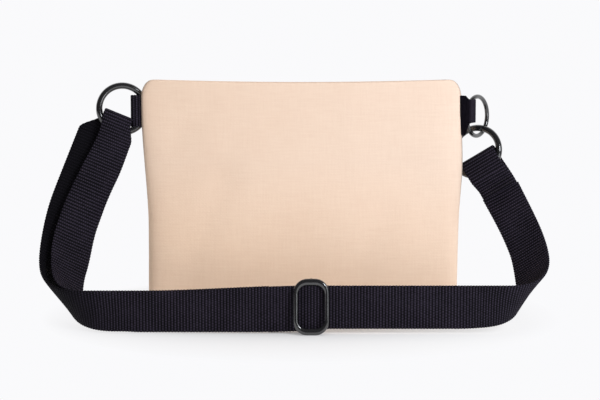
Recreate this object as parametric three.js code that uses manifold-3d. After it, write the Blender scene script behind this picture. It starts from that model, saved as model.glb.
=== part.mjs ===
// A canvas belt bag with a recessed top zip, ring hardware and an adjustable webbing strap.
// Millimetres, +Z up. The origin is the centre of the flat base, +X to the wearer's side
// that holds the linked rings, -Y the face that looks out.
import * as THREE from 'three';
import { mergeVertices } from 'three/addons/utils/BufferGeometryUtils.js';
import Module from 'manifold-3d';

const wasm = await Module();
wasm.setup();

// Clearances between neighbouring pieces
const SEAM_GAP = 0.3;
const RUNNING_GAP = 0.4;
const HANGING_GAP = 0.75;

// Pouch
const BAG_HEIGHT = 152.5;
const BAG_TOP_SAG = 1.8;
const BASE_HALF_WIDTH = 99;
const SHOULDER_HALF_WIDTH = 103.2;
const MOUTH_HALF_WIDTH = 95.5;
const FLARE_HEIGHT = 54;
const SHOULDER_HEIGHT = 136;
const CORNER_HEIGHT = 141;
const BASE_HALF_DEPTH = 17;
const BELLY_HALF_DEPTH = 19;
const BELLY_HEIGHT = 40;
const MOUTH_HALF_DEPTH = 9;
const BASE_SQUARENESS = 6;
const MOUTH_SQUARENESS = 2;
const SQUARE_ZONE_HEIGHT = 100;
const PANEL_THICKNESS = 1.6;
const BASE_THICKNESS = 1.8;
const LINING_THICKNESS = 0.7;
const LINING_HEIGHT = 136;

// Zip in the mouth
const ZIP_HEIGHT = 142.4;
const ZIP_THICKNESS = 1.6;
const ZIP_END_MARGIN = 15.5;
const TAPE_EDGE = 1.6;
const TOOTH_REACH = 2.7;
const TOOTH_PITCH = 3;
const TOOTH_WIDTH = 1.1;
const TEETH_OPEN_LENGTH = 28;
const ZIP_SLIDER_LENGTH = 13;
const ZIP_SLIDER_HALF_WIDTH = 4.2;
const ZIP_PLATE_THICKNESS = 1.2;
const ZIP_POST_LENGTH = 5;
const ZIP_POST_HALF_WIDTH = 1.1;
const BRIDGE_LENGTH = 7;
const BRIDGE_BAR = 1.3;
const BRIDGE_HALF_WIDTH = 0.8;
const BRIDGE_CLEAR_HEIGHT = 1.8;
const PULL_LENGTH = 22;
const PULL_WIDTH = 5.6;
const PULL_THICKNESS = 1.2;
const PULL_WINDOW_LENGTH = 7;
const PULL_EYE_BAR = 1.2;
const STOP_LENGTH = 2.4;
const STOP_WALL = 0.6;
const ZIP_END_LENGTH = 9;
const ZIP_END_HALF_WIDTH = 3;

// Webbing strap
const STRAP_WIDTH = 25;
const STRAP_THICKNESS = 1.6;
const FRONT_RUN_Y = -70;
const LOOP_BEND_RADIUS = 2.5;
const LOOP_LEG = 12.6;
const LOOP_TAPER = 5;
const LOOP_STITCHED = 6.3;
const LEFT_FOLD_WIDTH = 19;
const LEFT_LEG_WIDTH = 22;
const RIGHT_FOLD_WIDTH = 23.4;
const BUNCH_LENGTH = 25;

// Rolls at the strap's corners, where the flat webbing turns over a slanting line.
// slant: the line's angle from the floor, length: webbing taken up by the roll, turn: its whole
// turn, ease: how fast it loosens.
const RIGHT_ROLL = { side: 1, slant: 59.5, length: 84.5, turn: 148.2, ease: 2 };
const INNER_ROLL = { side: -1, slant: 56, length: 101.5, turn: 164.3, ease: 2.6 };
const OUTER_ROLL = { side: -1, slant: 56, length: 94.5, turn: 164.3, ease: 1.64 };
const DRIFT_LENGTH = 110;

// Rings and tabs. A ring's centre stands out from the pouch's side, behind its seam and above its base.
const LEFT_RING_PLACE = { standoff: 12.3, setback: 2.8, height: 133.5 };
const SMALL_RING_PLACE = { standoff: 11.7, setback: 13, height: 128.2 };
const STRAP_RING_LEAD = -0.8;
const STRAP_RING_FORWARD = 3.5;
const STRAP_RING_DROP = 23;
const RING_WIRE = 4.2;
const RING_SIDE_PLAY = 0.5;
const STRAP_RING_SIDE_PLAY = 1.3;
const LEFT_RING_OFFSET_ACROSS = 3.9;
const LEFT_RING_OFFSET_UP = 6.6;
const STRAP_RING_OFFSET_ACROSS = 1;
const STRAP_RING_OFFSET_UP = 6;
const SMALL_RING_INNER = 22.7;
const SMALL_RING_WIRE = 2.9;
const SMALL_RING_TURN = 53;
const TAB_THICKNESS = 1.2;
const LEFT_TAB_HEIGHT = 16;
const RIGHT_TAB_HEIGHT = 15;
const RIGHT_TAB_RISE = 2;
const TAB_ROOT = 6;

// Strap slider, a frame with a set-back centre bar
const SLIDER_X = 6;
const SLIDER_WIDTH = 21.7;
const SLIDER_END_BAR = 4;
const SLIDER_SIDE_BAR = 2;
const SLIDER_DEPTH = 2.6;
const SLIDER_CORNER = 8.5;
const SLIDER_WINDOW_CORNER = 5.5;
const SLIDER_WINDOW_PLAY = 0.6;
const SLIDER_BAR_RADIUS = 1.6;
const SLIDER_LUG_WIDTH = 4.4;
const SLIDER_LOOP_LENGTH = 26;

// Fineness of the curved faces
const PANEL_COLUMNS = 24;
const PANEL_ROWS = 12;
const CORNER_ROWS = 4;
const LINING_COLUMNS = 24;
const LINING_ROWS = 12;
const RING_STEPS = 36;
const WIRE_SIDES = 10;
const CURL_STEPS = 120;
const STRAP_STEP = 6;
const STRAP_COLUMNS = 4;
const FOLD_ROWS = 30;
const TAPE_STEPS = 12;
const PULL_CORNER_STEPS = 4;
const SLIDER_CORNER_STEPS = 6;
const BAR_SIDES = 16;
const FOLD_STEPS = 8;
const PROBE = 0.5;
const WELD = 1e-4;

// Sizes that follow from those above
const HALF_STRAP = STRAP_WIDTH / 2;
const STRAP_BOTTOM = SLIDER_END_BAR + SLIDER_WINDOW_PLAY;
const STRAP_MID_Z = STRAP_BOTTOM + HALF_STRAP;
const SLIDER_HEIGHT = STRAP_WIDTH + 2 * (SLIDER_END_BAR + SLIDER_WINDOW_PLAY);
const INNER_RUN_Y = FRONT_RUN_Y + STRAP_THICKNESS + RUNNING_GAP;
const RING_RADIUS = HALF_STRAP + RING_SIDE_PLAY + RING_WIRE / 2;
const STRAP_RING_RADIUS = HALF_STRAP + STRAP_RING_SIDE_PLAY + RING_WIRE / 2;
const SMALL_RING_RADIUS = (SMALL_RING_INNER + SMALL_RING_WIRE) / 2;
const LOOP_MID_RADIUS = LOOP_BEND_RADIUS + STRAP_THICKNESS / 2;
const SLIDER_BAR_Y = INNER_RUN_Y + STRAP_THICKNESS / 2 + SEAM_GAP + SLIDER_BAR_RADIUS;
const LOOP_LENGTH = LOOP_LEG + LOOP_TAPER + LOOP_STITCHED;
const ZIP_HALF_LENGTH = MOUTH_HALF_WIDTH - ZIP_END_MARGIN;
const TEETH_END = ZIP_HALF_LENGTH - TEETH_OPEN_LENGTH;

const FINISHES = {
  canvas: { color: 0xe8cdb4, roughness: 0.9, metalness: 0 },
  lining: { color: 0x8a7c70, roughness: 0.85, metalness: 0 },
  webbing: { color: 0x17151c, roughness: 0.8, metalness: 0 },
  ring: { color: 0x1b1b1e, roughness: 0.28, metalness: 0.9 },
  zip: { color: 0x2a2622, roughness: 0.6, metalness: 0 },
  zipMetal: { color: 0x2b2b2e, roughness: 0.35, metalness: 0.9 },
};

const bag = new THREE.Group();

function addPiece(name, geometry, finish) {
  const mesh = new THREE.Mesh(geometry, new THREE.MeshStandardMaterial(FINISHES[finish]));
  mesh.name = name;
  bag.add(mesh);
}

function mix(a, b, share) {
  return a + (b - a) * share;
}

function ease(value) {
  const t = Math.min(Math.max(value, 0), 1);
  return t * t * (3 - 2 * t);
}

function vector(x, y, z) {
  return new THREE.Vector3(x, y, z);
}

// Solids and booleans

function toSolid(geometry) {
  const bare = geometry.index ? geometry.toNonIndexed() : geometry.clone();
  bare.deleteAttribute('normal');
  bare.deleteAttribute('uv');
  const merged = mergeVertices(bare, WELD);
  const vertProperties = new Float32Array(merged.attributes.position.array);
  const triVerts = new Uint32Array(merged.index.array);
  return new wasm.Manifold(new wasm.Mesh({ numProp: 3, vertProperties, triVerts }));
}

function toGeometry(solid) {
  const mesh = solid.getMesh();
  const geometry = new THREE.BufferGeometry();
  geometry.setAttribute('position', new THREE.BufferAttribute(new Float32Array(mesh.vertProperties), 3));
  geometry.setIndex(new THREE.BufferAttribute(new Uint32Array(mesh.triVerts), 1));
  return geometry;
}

function join(geometries) {
  return toGeometry(geometries.map(toSolid).reduce((whole, piece) => whole.add(piece)));
}

function box(lo, hi) {
  const geometry = new THREE.BoxGeometry(hi[0] - lo[0], hi[1] - lo[1], hi[2] - lo[2]);
  return geometry.translate((lo[0] + hi[0]) / 2, (lo[1] + hi[1]) / 2, (lo[2] + hi[2]) / 2);
}

function signedVolume(points, faces) {
  let total = 0;
  for (const [a, b, c] of faces) {
    total += points[a].dot(vector().crossVectors(points[b], points[c])) / 6;
  }
  return total;
}

function positions(points) {
  return new THREE.Float32BufferAttribute(points.flatMap((p) => p.toArray()), 3);
}

// A closed solid between two grids of points that have the same rows and columns.
function gridSolid(outer, inner) {
  const rows = outer.length;
  const columns = outer[0].length;
  const points = [...outer.flat(), ...inner.flat()];
  const at = (layer, r, c) => layer * rows * columns + r * columns + c;
  const faces = [];
  const quad = (a, b, c, d) => faces.push([a, b, c], [a, c, d]);
  for (let r = 0; r + 1 < rows; r += 1) {
    for (let c = 0; c + 1 < columns; c += 1) {
      quad(at(0, r, c), at(0, r, c + 1), at(0, r + 1, c + 1), at(0, r + 1, c));
      quad(at(1, r, c), at(1, r + 1, c), at(1, r + 1, c + 1), at(1, r, c + 1));
    }
  }
  for (let r = 0; r + 1 < rows; r += 1) {
    quad(at(0, r, 0), at(0, r + 1, 0), at(1, r + 1, 0), at(1, r, 0));
    const last = columns - 1;
    quad(at(0, r, last), at(1, r, last), at(1, r + 1, last), at(0, r + 1, last));
  }
  for (let c = 0; c + 1 < columns; c += 1) {
    quad(at(0, 0, c), at(1, 0, c), at(1, 0, c + 1), at(0, 0, c + 1));
    const last = rows - 1;
    quad(at(0, last, c), at(0, last, c + 1), at(1, last, c + 1), at(1, last, c));
  }
  const outward = signedVolume(points, faces) > 0;
  const index = faces.flatMap(([a, b, c]) => (outward ? [a, b, c] : [a, c, b]));
  const geometry = new THREE.BufferGeometry();
  geometry.setAttribute('position', positions(points));
  geometry.setIndex(index);
  return geometry;
}

// An outline drawn in two axes of a frame and extruded both ways along its third.
function extrudeInFrame(shape, frame, low, high, curveSegments = FOLD_STEPS) {
  const settings = { depth: high - low, bevelEnabled: false, curveSegments };
  const geometry = new THREE.ExtrudeGeometry(shape, settings);
  geometry.translate(0, 0, low);
  const matrix = new THREE.Matrix4().makeBasis(frame.x, frame.y, frame.z);
  return geometry.applyMatrix4(matrix.setPosition(frame.origin));
}

function polygon(points) {
  return new THREE.Shape(points.map(([x, y]) => new THREE.Vector2(x, y)));
}

function roundedRectangle(width, height, corner) {
  const x = width / 2;
  const y = height / 2;
  const shape = new THREE.Shape();
  shape.moveTo(-x + corner, -y);
  shape.lineTo(x - corner, -y);
  shape.absarc(x - corner, -y + corner, corner, -Math.PI / 2, 0);
  shape.lineTo(x, y - corner);
  shape.absarc(x - corner, y - corner, corner, 0, Math.PI / 2);
  shape.lineTo(-x + corner, y);
  shape.absarc(-x + corner, y - corner, corner, Math.PI / 2, Math.PI);
  shape.lineTo(-x, -y + corner);
  shape.absarc(-x + corner, -y + corner, corner, Math.PI, 1.5 * Math.PI);
  return shape;
}

// Pouch: a loft of squared ovals, widest at the shoulders and deepest at the belly

function halfWidthAt(z) {
  if (z > CORNER_HEIGHT) {
    const up = Math.min((z - CORNER_HEIGHT) / (BAG_HEIGHT - CORNER_HEIGHT), 1);
    return mix(MOUTH_HALF_WIDTH, SHOULDER_HALF_WIDTH, Math.sqrt(1 - up * up));
  }
  const flare = ease((z - FLARE_HEIGHT) / (SHOULDER_HEIGHT - FLARE_HEIGHT));
  return mix(BASE_HALF_WIDTH, SHOULDER_HALF_WIDTH, flare);
}

function halfDepthAt(z) {
  if (z < BELLY_HEIGHT) {
    return mix(BASE_HALF_DEPTH, BELLY_HALF_DEPTH, ease(z / BELLY_HEIGHT));
  }
  const up = ease((z - BELLY_HEIGHT) / (BAG_HEIGHT - BELLY_HEIGHT));
  return mix(BELLY_HALF_DEPTH, MOUTH_HALF_DEPTH, up);
}

function squarenessAt(z) {
  return mix(BASE_SQUARENESS, MOUTH_SQUARENESS, Math.sqrt(ease(z / SQUARE_ZONE_HEIGHT)));
}

// A point of the pouch's section at one height, set in from its outer face.
function sectionPoint(angle, z, inset) {
  const power = 2 / squarenessAt(z);
  const c = Math.cos(angle);
  const s = Math.sin(angle);
  const x = (halfWidthAt(z) - inset) * Math.sign(c) * Math.abs(c) ** power;
  const y = (halfDepthAt(z) - inset) * Math.sign(s) * Math.abs(s) ** power;
  return [x, y];
}

function mouthHeightAt(x) {
  const across = Math.min(Math.abs(x) / MOUTH_HALF_WIDTH, 1);
  return BAG_HEIGHT - BAG_TOP_SAG * (1 - across * across);
}

// A point of one half of the pouch's wall, front (-1) or back (+1), on a level that sags at the mouth.
function wallPoint(facing, inset, across, level, up) {
  const [x, y] = sectionPoint(facing * mix(Math.PI, 0, across), level, inset);
  const sag = mouthHeightAt(x) / BAG_HEIGHT;
  return vector(x, y + (facing * SEAM_GAP) / 2, level * mix(1, sag, ease(up)));
}

// Levels of a wall's rows, closer together where the mouth's corners slope.
function wallLevels(bottom, top, rows) {
  const straightTop = Math.min(top, CORNER_HEIGHT);
  const levels = [];
  for (let r = 0; r <= rows; r += 1) {
    levels.push(mix(bottom, straightTop, r / rows));
  }
  for (let r = 1; top > straightTop && r <= CORNER_ROWS; r += 1) {
    levels.push(mix(straightTop, top, r / CORNER_ROWS));
  }
  return levels;
}

// Half of the pouch's wall between two insets, from a bottom to a top level.
function wall(facing, insets, bottom, top, columns, rows) {
  const [outer, inner] = insets.map((inset) => {
    const grid = [];
    for (const level of wallLevels(bottom, top, rows)) {
      const row = [];
      for (let c = 0; c <= columns; c += 1) {
        row.push(wallPoint(facing, inset, c / columns, level, (level - bottom) / (top - bottom)));
      }
      grid.push(row);
    }
    return grid;
  });
  return gridSolid(outer, inner);
}

function depthInside(x, z, inset) {
  const power = squarenessAt(z);
  const share = Math.min(Math.abs(x) / (halfWidthAt(z) - inset), 1);
  return (halfDepthAt(z) - inset) * (1 - share ** power) ** (1 / power);
}

function buildPouch() {
  const liningOutside = PANEL_THICKNESS + SEAM_GAP;
  const liningInsets = [liningOutside, liningOutside + LINING_THICKNESS];
  const liningBottom = BASE_THICKNESS + SEAM_GAP;
  for (const [word, facing] of [['front', -1], ['back', 1]]) {
    const panel = wall(facing, [0, PANEL_THICKNESS], 0, BAG_HEIGHT, PANEL_COLUMNS, PANEL_ROWS);
    addPiece(`${word}_panel`, panel, 'canvas');
    const lining = wall(facing, liningInsets, liningBottom, LINING_HEIGHT, LINING_COLUMNS, LINING_ROWS);
    addPiece(`lining_${word}`, lining, 'lining');
  }
  const outline = [];
  for (let step = 0; step < 2 * PANEL_COLUMNS; step += 1) {
    outline.push(sectionPoint((step / PANEL_COLUMNS) * Math.PI, 0, PANEL_THICKNESS + SEAM_GAP));
  }
  const base = new THREE.ExtrudeGeometry(polygon(outline), { depth: BASE_THICKNESS, bevelEnabled: false });
  addPiece('base_panel', base, 'canvas');
}

// Zip: two toothed tapes sewn inside the mouth, a slider with its pull, stops and end patches

const ZIP_TOP = ZIP_HEIGHT + ZIP_THICKNESS;
const ZIP_SLIDER_BACK = TEETH_END + TOOTH_PITCH;
const ZIP_SLIDER_FRONT = ZIP_SLIDER_BACK + ZIP_SLIDER_LENGTH;
const PLATE_BOTTOM = ZIP_TOP + RUNNING_GAP;
const PLATE_TOP = PLATE_BOTTOM + ZIP_PLATE_THICKNESS;
const PULL_HINGE_X = (ZIP_SLIDER_BACK + ZIP_SLIDER_FRONT) / 2;
const PULL_HINGE_Z = PLATE_TOP + BRIDGE_CLEAR_HEIGHT / 2;

function zipTape(facing) {
  const outer = [];
  for (let step = 0; step <= TAPE_STEPS; step += 1) {
    const x = mix(ZIP_HALF_LENGTH, -ZIP_HALF_LENGTH, step / TAPE_STEPS);
    const levels = [ZIP_HEIGHT, ZIP_TOP];
    const room = Math.min(...levels.map((z) => depthInside(x, z, PANEL_THICKNESS)));
    outer.push([x, -(room - 2 * SEAM_GAP)]);
  }
  const edge = [[-ZIP_HALF_LENGTH, -TAPE_EDGE]];
  const stagger = facing > 0 ? TOOTH_PITCH / 2 : 0;
  const firstTooth = -ZIP_HALF_LENGTH + STOP_LENGTH + TOOTH_PITCH + stagger;
  for (let x = firstTooth; x + TOOTH_WIDTH < TEETH_END; x += TOOTH_PITCH) {
    edge.push([x, -TAPE_EDGE], [x, TOOTH_REACH - TAPE_EDGE]);
    edge.push([x + TOOTH_WIDTH, TOOTH_REACH - TAPE_EDGE], [x + TOOTH_WIDTH, -TAPE_EDGE]);
  }
  edge.push([ZIP_HALF_LENGTH, -TAPE_EDGE]);
  const outline = [...outer, ...edge].map(([x, y]) => [x, -facing * y]);
  const tape = new THREE.ExtrudeGeometry(polygon(outline), { depth: ZIP_THICKNESS, bevelEnabled: false });
  return tape.translate(0, 0, ZIP_HEIGHT);
}

// A stop clamped round a tape's edge, open towards the tape.
function tapeStop(facing, x) {
  const reach = TAPE_EDGE + STOP_LENGTH;
  const high = ZIP_TOP + SEAM_GAP;
  const low = ZIP_HEIGHT - SEAM_GAP;
  const near = TAPE_EDGE - SEAM_GAP;
  const profile = polygon([
    [near - STOP_WALL, low - STOP_WALL],
    [reach, low - STOP_WALL],
    [reach, low],
    [near, low],
    [near, high],
    [reach, high],
    [reach, high + STOP_WALL],
    [near - STOP_WALL, high + STOP_WALL],
  ]);
  const axes = { x: vector(0, facing, 0), y: vector(0, 0, 1), z: vector(facing, 0, 0) };
  const frame = { ...axes, origin: vector(x, 0, 0) };
  return extrudeInFrame(profile, frame, -STOP_LENGTH / 2, STOP_LENGTH / 2);
}

function zipSlider() {
  const lowerTop = ZIP_HEIGHT - RUNNING_GAP;
  const lowerBottom = lowerTop - ZIP_PLATE_THICKNESS;
  const half = ZIP_SLIDER_HALF_WIDTH;
  const postBack = ZIP_SLIDER_FRONT - ZIP_POST_LENGTH;
  const plates = [
    box([ZIP_SLIDER_BACK, -half, PLATE_BOTTOM], [ZIP_SLIDER_FRONT, half, PLATE_TOP]),
    box([ZIP_SLIDER_BACK, -half, lowerBottom], [ZIP_SLIDER_FRONT, half, lowerTop]),
  ];
  const wedge = polygon([
    [postBack - ZIP_POST_HALF_WIDTH, 0],
    [postBack + ZIP_POST_HALF_WIDTH, -ZIP_POST_HALF_WIDTH],
    [ZIP_SLIDER_FRONT, -ZIP_POST_HALF_WIDTH],
    [ZIP_SLIDER_FRONT, ZIP_POST_HALF_WIDTH],
    [postBack + ZIP_POST_HALF_WIDTH, ZIP_POST_HALF_WIDTH],
  ]);
  const post = new THREE.ExtrudeGeometry(wedge, { depth: PLATE_TOP - lowerBottom, bevelEnabled: false });
  post.translate(0, 0, lowerBottom);
  const left = PULL_HINGE_X - BRIDGE_LENGTH / 2;
  const right = PULL_HINGE_X + BRIDGE_LENGTH / 2;
  const under = PLATE_TOP + BRIDGE_CLEAR_HEIGHT;
  const y = BRIDGE_HALF_WIDTH;
  const bridge = [
    box([left, -y, PLATE_BOTTOM], [left + BRIDGE_BAR, y, under + BRIDGE_BAR]),
    box([right - BRIDGE_BAR, -y, PLATE_BOTTOM], [right, y, under + BRIDGE_BAR]),
    box([left, -y, under], [right, y, under + BRIDGE_BAR]),
  ];
  return join([...plates, post, ...bridge]);
}

// The pull lies back over the closed teeth and hooks under the slider's bridge.
function zipPull() {
  const eye = PULL_EYE_BAR / 2;
  const outline = roundedRectangle(PULL_LENGTH, PULL_WIDTH, PULL_THICKNESS);
  const windowHalf = BRIDGE_HALF_WIDTH + 2 * RUNNING_GAP;
  const windowRight = PULL_LENGTH / 2 - PULL_EYE_BAR;
  const opening = new THREE.Path();
  opening.moveTo(windowRight, -windowHalf);
  opening.lineTo(windowRight, windowHalf);
  opening.lineTo(windowRight - PULL_WINDOW_LENGTH, windowHalf);
  opening.lineTo(windowRight - PULL_WINDOW_LENGTH, -windowHalf);
  outline.holes.push(opening);
  const settings = { depth: PULL_THICKNESS, bevelEnabled: false, curveSegments: PULL_CORNER_STEPS };
  const pull = new THREE.ExtrudeGeometry(outline, settings);
  return pull.translate(PULL_HINGE_X + eye - PULL_LENGTH / 2, 0, PULL_HINGE_Z - PULL_THICKNESS / 2);
}

function buildZip() {
  for (const [word, facing] of [['front', -1], ['back', 1]]) {
    addPiece(`zip_tape_${word}`, zipTape(facing), 'zip');
    addPiece(`zip_top_stop_${word}`, tapeStop(facing, ZIP_SLIDER_FRONT + STOP_LENGTH), 'zipMetal');
  }
  const bridgeHalf = TAPE_EDGE - SEAM_GAP;
  const stopX = -ZIP_HALF_LENGTH + STOP_LENGTH / 2;
  const bottomStop = box(
    [stopX - STOP_LENGTH / 2, -bridgeHalf, ZIP_HEIGHT],
    [stopX + STOP_LENGTH / 2, bridgeHalf, ZIP_TOP],
  );
  addPiece('zip_bottom_stop', bottomStop, 'zipMetal');
  addPiece('zip_slider', zipSlider(), 'zipMetal');
  addPiece('zip_pull', zipPull(), 'zipMetal');
  for (const [word, side] of [['left', -1], ['right', 1]]) {
    const near = side * (ZIP_HALF_LENGTH + SEAM_GAP);
    const far = near + side * ZIP_END_LENGTH;
    const patch = box(
      [Math.min(near, far), -ZIP_END_HALF_WIDTH, ZIP_HEIGHT],
      [Math.max(near, far), ZIP_END_HALF_WIDTH, ZIP_TOP],
    );
    addPiece(`zip_end_${word}`, patch, 'canvas');
  }
}

// Strap: flat webbing that stands on edge in front, rolls over at the corners and rises to the rings

const curlTables = new Map();

// How far the roll has carried the webbing ahead and into depth, at even steps of its length.
function curlTable(curl) {
  if (!curlTables.has(curl)) {
    const turn = THREE.MathUtils.degToRad(curl.turn);
    const stepLength = curl.length / CURL_STEPS;
    const table = [[0, 0]];
    for (let step = 0; step < CURL_STEPS; step += 1) {
      const angle = turn * (1 - (1 - (step + 0.5) / CURL_STEPS) ** curl.ease);
      const [ahead, deep] = table[step];
      table.push([ahead + Math.cos(angle) * stepLength, deep + Math.sin(angle) * stepLength]);
    }
    curlTables.set(curl, table);
  }
  return curlTables.get(curl);
}

function rollOffset(curl, rolled) {
  if (rolled <= 0) {
    return [rolled, 0];
  }
  const table = curlTable(curl);
  const turn = THREE.MathUtils.degToRad(curl.turn);
  if (rolled >= curl.length) {
    const beyond = rolled - curl.length;
    const [ahead, deep] = table[CURL_STEPS];
    return [ahead + beyond * Math.cos(turn), deep + beyond * Math.sin(turn)];
  }
  const place = (rolled / curl.length) * CURL_STEPS;
  const step = Math.floor(place);
  const share = place - step;
  const [near, far] = [table[step], table[step + 1]];
  return [mix(near[0], far[0], share), mix(near[1], far[1], share)];
}

// Where a point of the flat webbing lies: along the run from the roll, and up its width.
function webbingPoint(curl, y, along, across) {
  const slant = THREE.MathUtils.degToRad(curl.slant);
  const driftEnd = curl.end - LOOP_LENGTH;
  const led = across + curl.drift * ease((along - driftEnd + DRIFT_LENGTH) / DRIFT_LENGTH);
  const lineward = along * Math.cos(slant) + led * Math.sin(slant);
  const [ahead, deep] = rollOffset(curl, along * Math.sin(slant) - led * Math.cos(slant));
  const x = curl.start + lineward * Math.cos(slant) + ahead * Math.sin(slant);
  const z = STRAP_MID_Z + lineward * Math.sin(slant) - ahead * Math.cos(slant);
  return vector(curl.side * x, y + deep, z);
}

// The webbing's frame along the run: up the run, across it, and out towards the viewer.
function webbingFrame(curl, y, along) {
  const origin = webbingPoint(curl, y, along, 0);
  const run = webbingPoint(curl, y, along + PROBE, 0).sub(webbingPoint(curl, y, along - PROBE, 0));
  run.normalize();
  const across = webbingPoint(curl, y, along, PROBE).sub(origin);
  across.addScaledVector(run, -across.dot(run)).normalize();
  const out = vector().crossVectors(run, across);
  if (out.y > 0) {
    out.negate();
  }
  return { origin, run, across, out };
}

// Webbing between two places on a run, narrowed towards the ring where the fold bunches it.
function webbingRun(curl, y, from, to, endWidth = STRAP_WIDTH) {
  const rows = Math.ceil((to - from) / STRAP_STEP);
  const bunched = (along) => ease((along - to + BUNCH_LENGTH) / BUNCH_LENGTH);
  const widthAt = (along) => mix(STRAP_WIDTH, endWidth, bunched(along));
  const pointAt = (along, share) => webbingPoint(curl, y, along, widthAt(along) * share);
  const faces = [-1, 1].map((face) => {
    const grid = [];
    for (let r = 0; r <= rows; r += 1) {
      const along = mix(from, to, r / rows);
      const row = [];
      for (let c = 0; c <= STRAP_COLUMNS; c += 1) {
        const share = c / STRAP_COLUMNS - 0.5;
        const run = pointAt(along + PROBE, share).sub(pointAt(along - PROBE, share));
        const sideways = PROBE / STRAP_WIDTH;
        const across = pointAt(along, share + sideways).sub(pointAt(along, share - sideways));
        const normal = run.cross(across).normalize();
        row.push(pointAt(along, share).addScaledVector(normal, (face * STRAP_THICKNESS) / 2));
      }
      grid.push(row);
    }
    return grid;
  });
  return gridSolid(faces[0], faces[1]);
}

// How far before the roll's start the webbing's lower edge already begins to roll.
function flatEnd(curl) {
  return HALF_STRAP / Math.tan(THREE.MathUtils.degToRad(curl.slant)) + STRAP_THICKNESS;
}

// The webbing's axes once it has rolled over and rises to its ring.
function risingAxes(roll) {
  const along = 2 * roll.length;
  const { run, across, out } = webbingFrame({ ...roll, start: 0, end: along, drift: 0 }, 0, along);
  return { run, across, out };
}

// A roll in its place, from the point where the webbing's middle line ends.
// start: X of the roll on the front run, end: webbing from there to the point,
// drift: how far the webbing leads sideways to reach it.
function rollTo(roll, y, target) {
  const slant = THREE.MathUtils.degToRad(roll.slant);
  const turn = THREE.MathUtils.degToRad(roll.turn);
  const [rolledAhead, rolledDeep] = curlTable(roll)[CURL_STEPS];
  const beyond = (target.y - y - rolledDeep) / Math.sin(turn);
  const rolled = roll.length + beyond;
  const ahead = rolledAhead + beyond * Math.cos(turn);
  const lineward = (target.z - STRAP_MID_Z + ahead * Math.cos(slant)) / Math.sin(slant);
  return {
    ...roll,
    start: roll.side * target.x - lineward * Math.cos(slant) - ahead * Math.sin(slant),
    end: lineward * Math.cos(slant) + rolled * Math.sin(slant),
    drift: lineward * Math.sin(slant) - rolled * Math.cos(slant),
  };
}

// Axes in a ring's plane: level towards the bag, and up.
function ringFrame(origin, normal, bagward) {
  const up = vector(0, 0, 1).addScaledVector(normal, -normal.z).normalize();
  const towardsBag = vector().crossVectors(up, normal);
  const facing = normal.clone();
  if (Math.sign(towardsBag.x) !== bagward) {
    towardsBag.negate();
    facing.negate();
  }
  return { origin, towardsBag, up, normal: facing };
}

function besidePouch(side, place) {
  return vector(side * (halfWidthAt(place.height) + place.standoff), place.setback, place.height);
}

function leftRingFrame() {
  return ringFrame(besidePouch(-1, LEFT_RING_PLACE), risingAxes(INNER_ROLL).out, 1);
}

function rightRingFrame() {
  const turn = THREE.MathUtils.degToRad(SMALL_RING_TURN);
  const normal = vector(Math.sin(turn), -Math.cos(turn), 0);
  return ringFrame(besidePouch(1, SMALL_RING_PLACE), normal, -1);
}

function strapRingFrame() {
  const hang = vector(STRAP_RING_LEAD, -STRAP_RING_FORWARD, -STRAP_RING_DROP);
  return ringFrame(rightRingFrame().origin.add(hang), risingAxes(RIGHT_ROLL).out, -1);
}

// The middle of the fold through the left ring, set off from the ring's centre.
function leftFoldFrame() {
  const ring = leftRingFrame();
  const origin = ring.origin.addScaledVector(ring.towardsBag, -LEFT_RING_OFFSET_ACROSS);
  origin.addScaledVector(ring.up, -LEFT_RING_OFFSET_UP);
  return { ...risingAxes(INNER_ROLL), origin };
}

// The middle of the sewn loop in the strap ring.
function rightFoldFrame() {
  const axes = risingAxes(RIGHT_ROLL);
  const ring = strapRingFrame();
  const origin = ring.origin.addScaledVector(ring.towardsBag, -STRAP_RING_OFFSET_ACROSS);
  origin.addScaledVector(axes.run, -STRAP_RING_OFFSET_UP);
  return { ...axes, origin };
}

// Where the webbing's middle line ends beside a fold, before it (1) or behind it (-1).
function besideFold(fold, towardsViewer) {
  return fold.origin.clone().addScaledVector(fold.out, towardsViewer * LOOP_MID_RADIUS);
}

const leftFold = leftFoldFrame();
const rightFold = rightFoldFrame();
const RIGHT_CURL = rollTo(RIGHT_ROLL, FRONT_RUN_Y, besideFold(rightFold, -1));
const INNER_CURL = rollTo(INNER_ROLL, INNER_RUN_Y, besideFold(leftFold, 1));
const OUTER_CURL = rollTo(OUTER_ROLL, FRONT_RUN_Y, besideFold(leftFold, -1));

// A fold's section, drawn out from its middle: x towards the viewer, y up the run.
function foldBasis(fold) {
  const z = vector().crossVectors(fold.out, fold.run);
  return { x: fold.out, y: fold.run, z, origin: fold.origin };
}

function foldOuterRadius() {
  return LOOP_BEND_RADIUS + STRAP_THICKNESS;
}

// A sewn loop of the strap's end: the turned-back end lies in front and is stitched to the run.
function sewnLoop(fold) {
  const outer = foldOuterRadius();
  const inner = LOOP_BEND_RADIUS;
  const stacked = -inner + STRAP_THICKNESS;
  const shape = new THREE.Shape();
  shape.moveTo(-outer, -LOOP_LENGTH);
  shape.lineTo(stacked, -LOOP_LENGTH);
  shape.lineTo(stacked, -LOOP_LEG - LOOP_TAPER);
  shape.lineTo(outer, -LOOP_LEG);
  shape.lineTo(outer, 0);
  shape.absarc(0, 0, outer, 0, Math.PI);
  const pocket = new THREE.Path();
  pocket.moveTo(-inner, -LOOP_LEG - LOOP_TAPER + STRAP_THICKNESS);
  pocket.lineTo(inner, -LOOP_LEG);
  pocket.lineTo(inner, 0);
  pocket.absarc(0, 0, inner, 0, Math.PI);
  shape.holes.push(pocket);
  const half = RIGHT_FOLD_WIDTH / 2;
  return extrudeInFrame(shape, foldBasis(fold), -half, half);
}

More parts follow.
